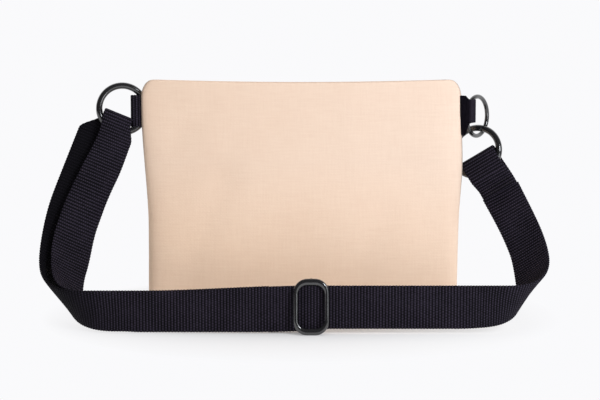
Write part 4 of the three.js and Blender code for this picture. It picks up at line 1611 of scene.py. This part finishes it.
    def build(self) -> list[bpy.types.Object]:
        """Makes every stretch of the belt and attaches its front, end loop, fold and bar pieces to what
        holds them.

        Returns:
            Its pieces.
        """
        left_x = -(self.outer.start - self.flat(self.outer))
        right_x = self.right.start - self.flat(self.right)
        front = self.standing_run("belt_front", left_x, right_x, self.front_y, left_x, 1)
        right_top = self.right.end - self.loop
        right = self.side_run("belt_right", self.right, right_top, self.right_leg_width, right_x, 1)
        end_loop = self.end_loop(self.right.start + right_top)
        outer_top = self.outer.end - self.leg
        outer = self.side_run("belt_left_outer", self.outer, outer_top, self.width, left_x, -1)
        fold, inner_top_belt = self.left_fold(-(self.outer.start + outer_top))
        inner_top = self.inner.end - self.leg
        inner_foot = inner_top_belt - (inner_top + self.flat(self.inner))
        inner = self.side_run("belt_left_inner", self.inner, inner_top, self.left_leg_width, inner_foot, 1)
        inner_x = -(self.inner.start - self.flat(self.inner))
        loop_x = self.slider_x - self.slider_loop
        inner_run = self.standing_run("belt_inner", inner_x, loop_x, self.inner_y, inner_foot, -1)
        bar_loop = self.bar_loop(inner_foot - (loop_x - inner_x))
        rise = self.bar_rise()
        for piece, node in (
            (front, "strap_front_run"),
            (right, "strap_right_side"),
            (end_loop, "strap_end_loop"),
            (outer, "strap_left_outer"),
            (fold, "strap_left_fold"),
            (inner, "strap_left_inner"),
            (inner_run, "strap_inner_run"),
            (bar_loop, "strap_slider_loop"),
        ):
            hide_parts(node)
        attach(front, "bag")
        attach(end_loop, "strap_ring")
        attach(fold, "left_ring")
        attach(bar_loop, "strap_slider")
        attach(rise, "strap_slider")
        self._follow(right, self.right, right_top)
        self._follow(outer, self.outer, outer_top)
        self._follow(inner, self.inner, inner_top)
        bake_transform(inner_run)
        pieces = [front, right, end_loop, outer, fold, inner, inner_run, bar_loop, rise]
        for piece in pieces:
            self.wardrobe.dress(piece, Slot.WEBBING)
        return pieces

    def _follow(self, piece: bpy.types.Object, run: RolledRun, top: float) -> None:
        """Bakes a side run's placement into its mesh."""
        foot = run.point(top * self.foot_share, 0.0)
        tuple(run.point(top, 0.0))
        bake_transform(piece)


# Rings, tabs and slider

@dataclass
class Rings:
    """The three round wire rings."""

    wardrobe: Wardrobe
    rigging: Rigging
    radius: float = 0.0151
    strap_radius: float = 0.0159
    wire: float = 0.0042
    small_radius: float = 0.0128
    small_wire: float = 0.0029
    steps: int = 96
    sides: int = 24

    def ring(self, name: str, place: RingPlace, radius: float, wire: float) -> bpy.types.Object:
        """One ring of round wire.

        Args:
            name: the piece's name.
            place: where it is.
            radius: the radius of its wire's middle line.
            wire: the wire's thickness.

        Returns:
            The object.
        """
        rings = []
        for step in range(self.steps):
            angle = TURN * step / self.steps
            outward = place.towards_bag * math.cos(angle) + place.up * math.sin(angle)
            ring = []
            for k in range(self.sides):
                turn = TURN * k / self.sides
                offset = outward * math.cos(turn) + place.normal * math.sin(turn)
                ring.append(place.centre + outward * radius + offset * (wire / 2))
            rings.append(ring)
        piece = tube_piece(name, rings, closed=True)
        self.wardrobe.dress(piece, Slot.HARDWARE)
        return piece

    def build(self) -> list[bpy.types.Object]:
        """Makes the rings.

        Returns:
            Its pieces.
        """
        rigging = self.rigging
        made = []
        for name, place, radius, wire, node, body in (
            ("wire_ring_left", rigging.left_ring(), self.radius, self.wire, "ring_left", "left_ring"),
            ("wire_ring_small", rigging.small_ring(), self.small_radius, self.small_wire,
             "ring_right", "right_ring"),
            ("wire_ring_strap", rigging.strap_ring(), self.strap_radius, self.wire,
             "strap_ring", "strap_ring"),
        ):
            piece = self.ring(name, place, radius, wire)
            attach(piece, body)
            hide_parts(node)
            made.append(piece)
        return made


@dataclass
class Tab:
    """A short webbing tab, folded round a ring's wire and sewn to the pouch's side.

    The path is seen from above, from one sewn end round the wire to the other. The spans are the
    heights of its two edges at the pouch and at the ring.
    """

    wardrobe: Wardrobe
    name: str
    node: str
    path: Path
    pouch_span: Pair
    ring_span: Pair
    thickness: float = 0.0012
    sewn_part: float = 0.9

    def height(self, along: float, share: float) -> float:
        """The height of a point of the tab, from its place along and across it."""
        ringward = ease(2 * (1 - abs(2 * along / self.path.length - 1)) - self.sewn_part)
        low = mix(self.pouch_span[0], self.ring_span[0], ringward)
        high = mix(self.pouch_span[1], self.ring_span[1], ringward)
        return mix(low, high, share + 0.5)

    def build(self) -> bpy.types.Object:
        """Makes the tab.

        Returns:
            The object.
        """
        def surface(along: float, share: float) -> Vector:
            place = self.path.at(along)
            return Vector((place.x, place.y, self.height(along, share)))

        def width(along: float) -> float:
            return self.height(along, 0.5) - self.height(along, -0.5)

        piece = Ribbon(self.name, surface, self.path.length, width, self.thickness).build()
        self.wardrobe.dress(piece, Slot.WEBBING)
        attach(piece, "bag")
        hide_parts(self.node)
        return piece


@dataclass
class Tabs:
    """The two side tabs."""

    wardrobe: Wardrobe
    pouch: Pouch
    rigging: Rigging
    play: float = 0.00075
    thickness: float = 0.0012
    left_near: float = 0.0058
    right_near: float = 0.0052
    bend_steps: int = 8
    left_front_sewn: Pair = (-0.0925, -0.0965)
    left_back_sewn: Pair = (-0.0950, -0.0905)
    left_pouch_span: Pair = (0.1216, 0.1425)
    left_ring_span: Pair = (0.1216, 0.1423)
    right_sewn: Pair = (-0.0012, 0.0003)
    right_pouch_span: Pair = (0.1165, 0.1422)
    right_ring_span: Pair = (0.1245, 0.1395)

    def loop(self, place: RingPlace, near: float, radius: float, wire: float) -> list[Vector]:
        """The stretch of a tab round its wire, seen from above.

        Args:
            place: the ring's place.
            near: how near to the ring's centre the tab's fold comes.
            radius: the ring's radius.
            wire: its wire's thickness.

        Returns:
            Points from the tab's front leg round to its back leg.
        """
        bagward = Vector((place.towards_bag.x, place.towards_bag.y, 0)).normalized()
        viewer = Vector((bagward.y, -bagward.x, 0))
        if viewer.y > 0:
            viewer = -viewer
        apart = wire / 2 + self.play + self.thickness / 2
        points = [(radius + wire / 2, apart)]
        for step in range(self.bend_steps + 1):
            angle = math.pi * step / self.bend_steps
            points.append((near + apart * (1 - math.sin(angle)), apart * math.cos(angle)))
        points.append((radius + wire / 2, -apart))
        return [place.centre + bagward * b + viewer * v for b, v in points]

    def on_back(self, x: float, z: float, off: float) -> Vector:
        """A point on the pouch's back beside its left edge, some way off the cloth."""
        share = math.sqrt(1 - (x / self.pouch.half_width(z)) ** 2)
        return Vector((x, self.pouch.half_depth(z) * share + off, z))

    def build(self, rings: Rings) -> list[bpy.types.Object]:
        """Makes both tabs round their rings.

        Args:
            rings: the rings that they hold.

        Returns:
            Their pieces.
        """
        left = self.rigging.left_ring()
        level = left.centre.z
        half = self.thickness / 2
        front = [self.on_back(x, level, half) for x in self.left_front_sewn]
        back = [self.on_back(x, level, 3 * half) for x in self.left_back_sewn]
        left_path = front + self.loop(left, self.left_near, rings.radius, rings.wire) + back
        right = self.rigging.small_ring()
        seam = self.pouch.half_width(right.centre.z)
        sewn = [Vector((seam + beyond, -half, 0)) for beyond in self.right_sewn]
        end = [Vector((p.x, half, 0)) for p in reversed(sewn)]
        right_path = sewn + self.loop(right, self.right_near, rings.small_radius, rings.small_wire) + end
        return [
            Tab(self.wardrobe, "side_tab_left", "tab_left", Path.rounded(left_path),
                self.left_pouch_span, self.left_ring_span).build(),
            Tab(self.wardrobe, "side_tab_right", "tab_right", Path.rounded(right_path),
                self.right_pouch_span, self.right_ring_span).build(),
        ]


@dataclass
class Stitching:
    """The rows of thread that hold the belt's two ends."""

    wardrobe: Wardrobe
    belt: Belt
    pitch: float = 0.0023
    thread: float = 0.00022
    half_stitch: float = 0.36
    roundness: float = 2.2
    proud: float = 0.0001
    edge_inset: float = 0.0016
    row_inset: float = 0.0012
    box_inset: float = 0.003
    box_length: float = 0.0125

    def row(self, start: Vector, end: Vector, out: Vector) -> list[Grid]:
        """One row of stitches.

        Args:
            start: where it begins, on the face that it is sewn through.
            end: where it ends.
            out: the direction out of that face.

        Returns:
            The stitches.
        """
        way = end - start
        count = max(round(way.length / self.pitch), 1)
        along = way.normalized() * (self.half_stitch * way.length / count)
        across = out.cross(along).normalized() * self.thread
        middles = [mix(start, end, (k + 0.5) / count) for k in range(count)]
        return [bead(middle, along, across, out * self.thread, self.roundness) for middle in middles]

    def box(self, corner: Vector, along: Vector, across: Vector, out: Vector) -> list[Grid]:
        """Stitches round a box and over its two diagonals.

        Args:
            corner: one corner of the box.
            along: the way to the next corner.
            across: the way to the corner on its other side.
            out: the direction out of the face.

        Returns:
            The stitches.
        """
        a, b, c, d = corner, corner + along, corner + along + across, corner + across
        pairs = ((a, b), (b, c), (c, d), (d, a), (a, c), (b, d))
        return [stitch for start, end in pairs for stitch in self.row(start, end, out)]

    def end_loop(self) -> bpy.types.Object:
        """Two rows across the belt's sewn end, under the strap ring.

        Returns:
            The object.
        """
        belt, fold = self.belt, self.belt.rigging.right_fold()
        axes = fold.axes
        face = -belt.bend_radius + 1.5 * belt.thickness + self.proud
        half = belt.right_fold_width / 2 - self.edge_inset
        stitches = []
        for down in (belt.leg + belt.taper + self.row_inset, belt.loop - self.edge_inset):
            middle = fold.centre + belt.end_lean(down) + axes.out * face - axes.run * down
            stitches += self.row(middle - axes.across * half, middle + axes.across * half, axes.out)
        piece = tubes_piece("stitches_belt_end", stitches)
        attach(piece, "strap_ring")
        self.wardrobe.sew(piece)
        return piece

    def bar_loop(self) -> bpy.types.Object:
        """A sewn box on the back of the loop round the slider's bar.

        Returns:
            The object.
        """
        belt = self.belt
        face = belt.inner_y + 1.5 * belt.thickness + self.proud
        low = belt.middle_z - belt.width / 2 + self.box_inset
        corner = Vector((belt.slider_x - belt.slider_loop + self.box_inset, face, low))
        along = Vector((self.box_length, 0, 0))
        across = Vector((0, 0, belt.width - 2 * self.box_inset))
        stitches = self.box(corner, along, across, Vector((0, 1, 0)))
        piece = tubes_piece("stitches_bar_loop", stitches)
        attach(piece, "strap_slider")
        self.wardrobe.sew(piece)
        return piece

    def build(self) -> list[bpy.types.Object]:
        """Makes all the rows.

        Returns:
            Its pieces.
        """
        return [self.end_loop(), self.bar_loop()]


@dataclass
class StrapSlider:
    """The sliding buckle: a rounded frame that leans on the belt, and the bar behind it."""

    wardrobe: Wardrobe
    lean: float = 0.12
    x: float = 0.006
    y: float = -0.0725
    middle_z: float = 0.0171
    half_width: float = 0.01085
    half_height: float = 0.0171
    corner: float = 0.0085
    window_half_width: float = 0.0081
    window_half_height: float = 0.0131
    window_corner: float = 0.0055
    depth: float = 0.0026
    bar_y: float = -0.0653
    bar_radius: float = 0.0016
    bar_bend: float = 0.0022
    bar_inset: float = 0.0004
    bend_steps: int = 8
    corner_steps: int = 14
    section_sides: int = 20
    squareness: float = 2.3

    def rim(self, half_width: float, half_height: float, corner: float) -> list[Vector]:
        """A rounded rectangle round the slider's middle.

        Args:
            half_width: half of its width.
            half_height: half of its height.
            corner: the radius of its corners.

        Returns:
            Its points, the same number for every size.
        """
        middle = Vector((self.x, self.y, self.middle_z))
        points = []
        for quarter in range(4):
            for step in range(self.corner_steps + 1):
                angle = (quarter + step / self.corner_steps) * math.pi / 2
                across = math.copysign(half_width - corner, (1, -1, -1, 1)[quarter])
                up = math.copysign(half_height - corner, (1, 1, -1, -1)[quarter])
                rise = up + corner * math.sin(angle)
                forward = -self.lean * (self.half_height - rise)
                place = Vector((across + corner * math.cos(angle), forward, rise))
                points.append(middle + place)
        return points

    def build(self) -> list[bpy.types.Object]:
        """Makes the frame and its bar.

        Returns:
            Its pieces.
        """
        outer = self.rim(self.half_width, self.half_height, self.corner)
        inner = self.rim(self.window_half_width, self.window_half_height, self.window_corner)
        power = 2 / self.squareness
        rings = []
        for inside, outside in zip(inner, outer):
            ring = []
            for side in range(self.section_sides):
                angle = TURN * side / self.section_sides
                share = 0.5 + 0.5 * signed_power(math.cos(angle), power)
                forward = self.depth / 2 * signed_power(math.sin(angle), power)
                ring.append(mix(inside, outside, share) + Vector((0, forward, 0)))
            rings.append(ring)
        rim = tube_piece("buckle_frame", rings, closed=True)
        bar = tube_piece("buckle_bar", self.bar_rings(), closed=False)
        for piece in (rim, bar):
            self.wardrobe.dress(piece, Slot.HARDWARE)
            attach(piece, "strap_slider")
        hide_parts("strap_slider")
        return [rim, bar]

    def bar_rings(self) -> Grid:
        """The sections of the bar, bent back from the frame's lower end and forward to its upper end."""
        low = self.middle_z - self.half_height + self.bar_radius + self.bar_inset
        high = 2 * self.middle_z - low
        bend = self.bar_bend
        turn = []
        for step in range(self.bend_steps + 1):
            angle = math.pi / 2 * step / self.bend_steps
            turn.append((self.bar_y - bend * (1 - math.sin(angle)), low + bend * (1 - math.cos(angle))))
        foot = self.y - 2 * self.lean * self.half_height
        line = [(foot, low), *turn, *((y, low + high - z) for y, z in reversed(turn)), (self.y, high)]
        rings = []
        for k, (y, z) in enumerate(line):
            before, after = line[max(k - 1, 0)], line[min(k + 1, len(line) - 1)]
            run = Vector((0, after[0] - before[0], after[1] - before[1])).normalized()
            side = Vector((1, 0, 0)).cross(run)
            ring = []
            for step in range(self.section_sides):
                angle = TURN * step / self.section_sides
                offset = Vector((1, 0, 0)) * math.cos(angle) + side * math.sin(angle)
                ring.append(Vector((self.x, y, z)) + offset * self.bar_radius)
            rings.append(ring)
        return rings


# The zip

@dataclass
class Zip:
    """The zip in the mouth: two toothed tapes, their stops, the slider with its pull, and end patches."""

    wardrobe: Wardrobe
    pouch: Pouch
    half_length: float = 0.080
    middle_z: float = 0.1432
    tape_thickness: float = 0.0010
    tape_edge: float = 0.0016
    wall_room: float = 0.0006
    edge_height: float = 0.144
    tape_steps: int = 80
    tape_sides: int = 12
    tape_power: float = 0.35
    tooth_pitch: float = 0.003
    tooth_reach: float = 0.0011
    tooth_root: float = 0.0023
    tooth_half_width: float = 0.0006
    tooth_half_height: float = 0.00078
    tooth_squareness: float = 3.5
    first_tooth: float = -0.0746
    teeth_end: float = 0.052
    opened_share: float = 0.42
    drawn_to: float = 0.06
    patch_half: Triple = (0.0045, 0.003, 0.0008)
    patch_x: float = 0.0848
    slider_rounding: float = 0.0005
    small_rounding: float = 0.0003

    def edge(self, x: float) -> float:
        """How far from the mouth's middle the tape's outer edge lies."""
        z = self.edge_height
        width = self.pouch.half_width(z) - self.pouch.cloth
        depth = self.pouch.half_depth(z) - self.pouch.cloth
        return depth * math.sqrt(1 - (x / width) ** 2) - self.wall_room

    def tape(self, side: Side) -> list[bpy.types.Object]:
        """One tape and its teeth.

        Args:
            side: which side of the mouth it is on.

        Returns:
            The tape and the teeth.
        """
        rings = []
        for step in range(self.tape_steps + 1):
            x = mix(-self.half_length, self.half_length, step / self.tape_steps)
            near, far = self.tape_edge, self.edge(x)
            middle = Vector((x, side.value * (near + far) / 2, self.middle_z))
            ring = []
            for k in range(self.tape_sides):
                angle = TURN * k / self.tape_sides
                across = signed_power(math.cos(angle), self.tape_power) * (far - near) / 2
                up = signed_power(math.sin(angle), self.tape_power) * self.tape_thickness / 2
                ring.append(middle + Vector((0, across, up)))
            rings.append(ring)
        name = side.name.lower()
        tape = tube_piece(f"tape_{name}", rings, closed=False)
        offset = self.tooth_pitch / 2 if side is Side.BACK else 0.0
        teeth = []
        x = self.first_tooth + offset
        while x < self.teeth_end:
            middle = Vector((x, side.value * (self.tooth_root - self.tooth_reach) / 2, self.middle_z))
            length = Vector((0, (self.tooth_root + self.tooth_reach) / 2, 0))
            width = Vector((self.tooth_half_width, 0, 0))
            height = Vector((0, 0, self.tooth_half_height))
            teeth.append(bead(middle, length, width, height, self.tooth_squareness))
            x += self.tooth_pitch
        chain = tubes_piece(f"teeth_{name}", teeth)
        for piece in (tape, chain):
            self.wardrobe.dress(piece, Slot.ZIP_TAPE)
            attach(piece, "bag")
            side.value * self.edge(self.drawn_to)
            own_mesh(piece)
        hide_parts(f"zip_tape_{name}")
        return [tape, chain]

    def patch(self, side: int, node: str) -> bpy.types.Object:
        """The folded canvas patch that closes the mouth beyond an end of the zip.

        Args:
            side: -1 for the left end, 1 for the right one.
            node: the solid that it stands for.

        Returns:
            The object.
        """
        long, wide, high = self.patch_half
        middle = Vector((side * self.patch_x, 0, self.middle_z))
        rings = bead(middle, Vector((long, 0, 0)), Vector((0, wide, 0)), Vector((0, 0, high)),
                     squareness=5.0, rows=16, sides=24)
        piece = tube_piece(f"mouth_patch_{'left' if side < 0 else 'right'}", rings, closed=False)
        self.wardrobe.dress(piece, Slot.CANVAS)
        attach(piece, "bag")
        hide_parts(node)
        return piece

    def build(self) -> list[bpy.types.Object]:
        """Makes the soft pieces and dresses the metal ones.

        Returns:
            Its pieces.
        """
        pieces = self.tape(Side.FRONT) + self.tape(Side.BACK)
        pieces += [self.patch(-1, "zip_end_left"), self.patch(1, "zip_end_right")]
        stops = ("zip_top_stop_front", "zip_top_stop_back", "zip_bottom_stop")
        for node in ("zip_slider", "zip_pull", *stops):
            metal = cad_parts[node]
            soften(metal, self.slider_rounding if node == "zip_slider" else self.small_rounding)
            self.wardrobe.dress(metal, Slot.ZIP_METAL)
            pieces.append(metal)
        return pieces


# Camera, light and floor

@dataclass
class Studio:
    """A pale floor under soft light, seen as in the photograph."""

    camera_place: Triple = (-0.0008, -1.058, 0.1876)
    camera_dip: float = 6.1
    lens: float = 98.4
    sensor: float = 36.0
    floor_colour: Colour = (0.935, 0.95, 0.975)
    white: Colour = (0.955, 0.955, 0.97)
    floor_half: float = 6.0
    room_light: float = 0.285
    room_front: float = 0.39
    room_back: float = 0.3
    room_right: float = 0.26
    room_top: float = 0.4
    room_mirrored: float = 0.12
    room_colour: Colour = (1.0, 0.965, 0.925)
    key_colour: Colour = (0.965, 1.0, 1.045)
    key_power: float = 7.4
    key_place: Triple = (0.85, -1.05, 0.8)
    key_size: Pair = (0.36, 0.36)
    side_power: float = 0.43
    side_place: Triple = (0.37, -0.42, 0.125)
    side_size: Pair = (0.16, 0.22)
    backdrop_rise: float = 3.0
    shade_reach: float = 0.05
    shade_fade: float = 0.11
    shade_width: float = 0.95
    aim: Triple = (0.0, 0.0, 0.07)

    def camera(self) -> None:
        """Sets the camera where the photograph's was."""
        data = bpy.data.cameras.new("camera")
        data.lens, data.sensor_width = self.lens, self.sensor
        camera = bpy.data.objects.new("camera", data)
        camera.location = self.camera_place
        camera.rotation_euler = (math.radians(90 - self.camera_dip), 0, 0)
        bpy.context.scene.collection.objects.link(camera)
        bpy.context.scene.camera = camera

    def lamp(self, name: str, place: Triple, power: float, size: Pair) -> None:
        """A soft lamp turned towards the bag.

        Args:
            name: its name.
            place: where it stands.
            power: its power in watts.
            size: its width and height.
        """
        data = bpy.data.lights.new(name, "AREA")
        data.energy = power
        data.color = self.key_colour
        data.shape = "RECTANGLE"
        data.size, data.size_y = size
        lamp = bpy.data.objects.new(name, data)
        lamp.location = place
        lamp.rotation_euler = (Vector(self.aim) - Vector(place)).to_track_quat("-Z", "Y").to_euler()
        bpy.context.scene.collection.objects.link(lamp)

    def world(self) -> None:
        """A white backdrop, and a room that is brighter overhead, to the right, before and behind."""
        world = bpy.data.worlds.new("surround")
        world.use_nodes = True
        bpy.context.scene.world = world
        shader = Shader(world.node_tree)
        x, y, z = shader.parts(shader.value("ShaderNodeTexCoord", "Generated"))
        glossy = shader.value("ShaderNodeLightPath", "Is Glossy Ray")
        ahead = (0.0 - y).clamped() * self.room_front
        behind = y.clamped() * self.room_back
        level = (x * self.room_right + ahead + behind + z * self.room_top + self.room_light).clamped()
        level = level * (1.0 - glossy * (1 - self.room_mirrored))
        room = shader.blend(level, (0.0, 0.0, 0.0), self.room_colour)
        colour = shader.blend(self._seen(shader, (y * self.backdrop_rise).clamped()), room, self.white)
        light = shader.value("ShaderNodeBackground", "Background", None, Color=colour)
        shader.node("ShaderNodeOutputWorld", None, {"Surface": light})

    @staticmethod
    def _seen(shader: Shader, mirrored: Any) -> Socket:
        """How far a ray shows a background.

        Args:
            shader: the tree that asks.
            mirrored: the share that reflected rays show.

        Returns:
            1 for the camera's rays and passed-through ones, and that share for reflected ones.
        """
        path = shader.node("ShaderNodeLightPath")
        kinds = ("Camera", "Glossy", "Transmission")
        camera, glossy, passed = (shader.out(path, f"Is {kind} Ray") for kind in kinds)
        return (camera + passed + glossy * mirrored).clamped()

    def floor(self) -> bpy.types.Object:
        """The floor, which keeps the bag's shadow and turns to plain white further out.

        Returns:
            The object.
        """
        half = self.floor_half
        signs = ((-1, -1), (1, -1), (1, 1), (-1, 1))
        corners = [Vector((half * x, half * y, 0)) for x, y in signs]
        piece = mesh_piece("floor", corners, [(0, 1, 2, 3)])
        shader, material = Shader.of_material("floor")
        x, y, _ = shader.parts(shader.value("ShaderNodeTexCoord", "Object"))
        drawn_in = x * self.shade_width
        away = ((drawn_in * drawn_in + y * y) ** 0.5 - self.shade_reach) * (1 / self.shade_fade)
        cloth = shader.node("ShaderNodeBsdfDiffuse", None, {"Color": (*self.floor_colour, 1.0)})
        glow = shader.node("ShaderNodeEmission", None, {"Color": (*self.white, 1.0)})
        factor = away.clamped() * self._seen(shader, 1.0)
        mixed = shader.value("ShaderNodeMixShader", "Shader", None, Fac=factor)
        mixer = mixed.socket.node
        shader.tree.links.new(cloth.outputs[0], mixer.inputs[1])
        shader.tree.links.new(glow.outputs[0], mixer.inputs[2])
        shader.node("ShaderNodeOutputMaterial", None, {"Surface": mixed})
        piece.data.materials.append(material)
        return piece

    def build(self) -> None:
        """Sets the whole studio up."""
        self.camera()
        self.world()
        self.floor()
        self.lamp("key", self.key_place, self.key_power, self.key_size)
        self.lamp("side", self.side_place, self.side_power, self.side_size)
        bpy.context.scene.view_settings.view_transform = "Standard"


def main() -> None:
    """Builds the bag in order and reports each piece."""
    logging.basicConfig(level=logging.INFO, format="%(name)s: %(message)s")
    Studio().build()
    wardrobe = Wardrobe.stocked()
    pouch = Pouch(wardrobe)
    rigging = Rigging(pouch)
    rings = Rings(wardrobe, rigging)
    made = pouch.build()
    belt = Belt(wardrobe, rigging)
    made += belt.build()
    made += Stitching(wardrobe, belt).build()
    made += rings.build()
    made += Tabs(wardrobe, pouch, rigging).build(rings)
    made += StrapSlider(wardrobe).build()
    made += Zip(wardrobe, pouch).build()
    for piece in made:
        log.info("%s: %d points", piece.name, len(piece.data.vertices))


if __name__ == "__main__":
    main()
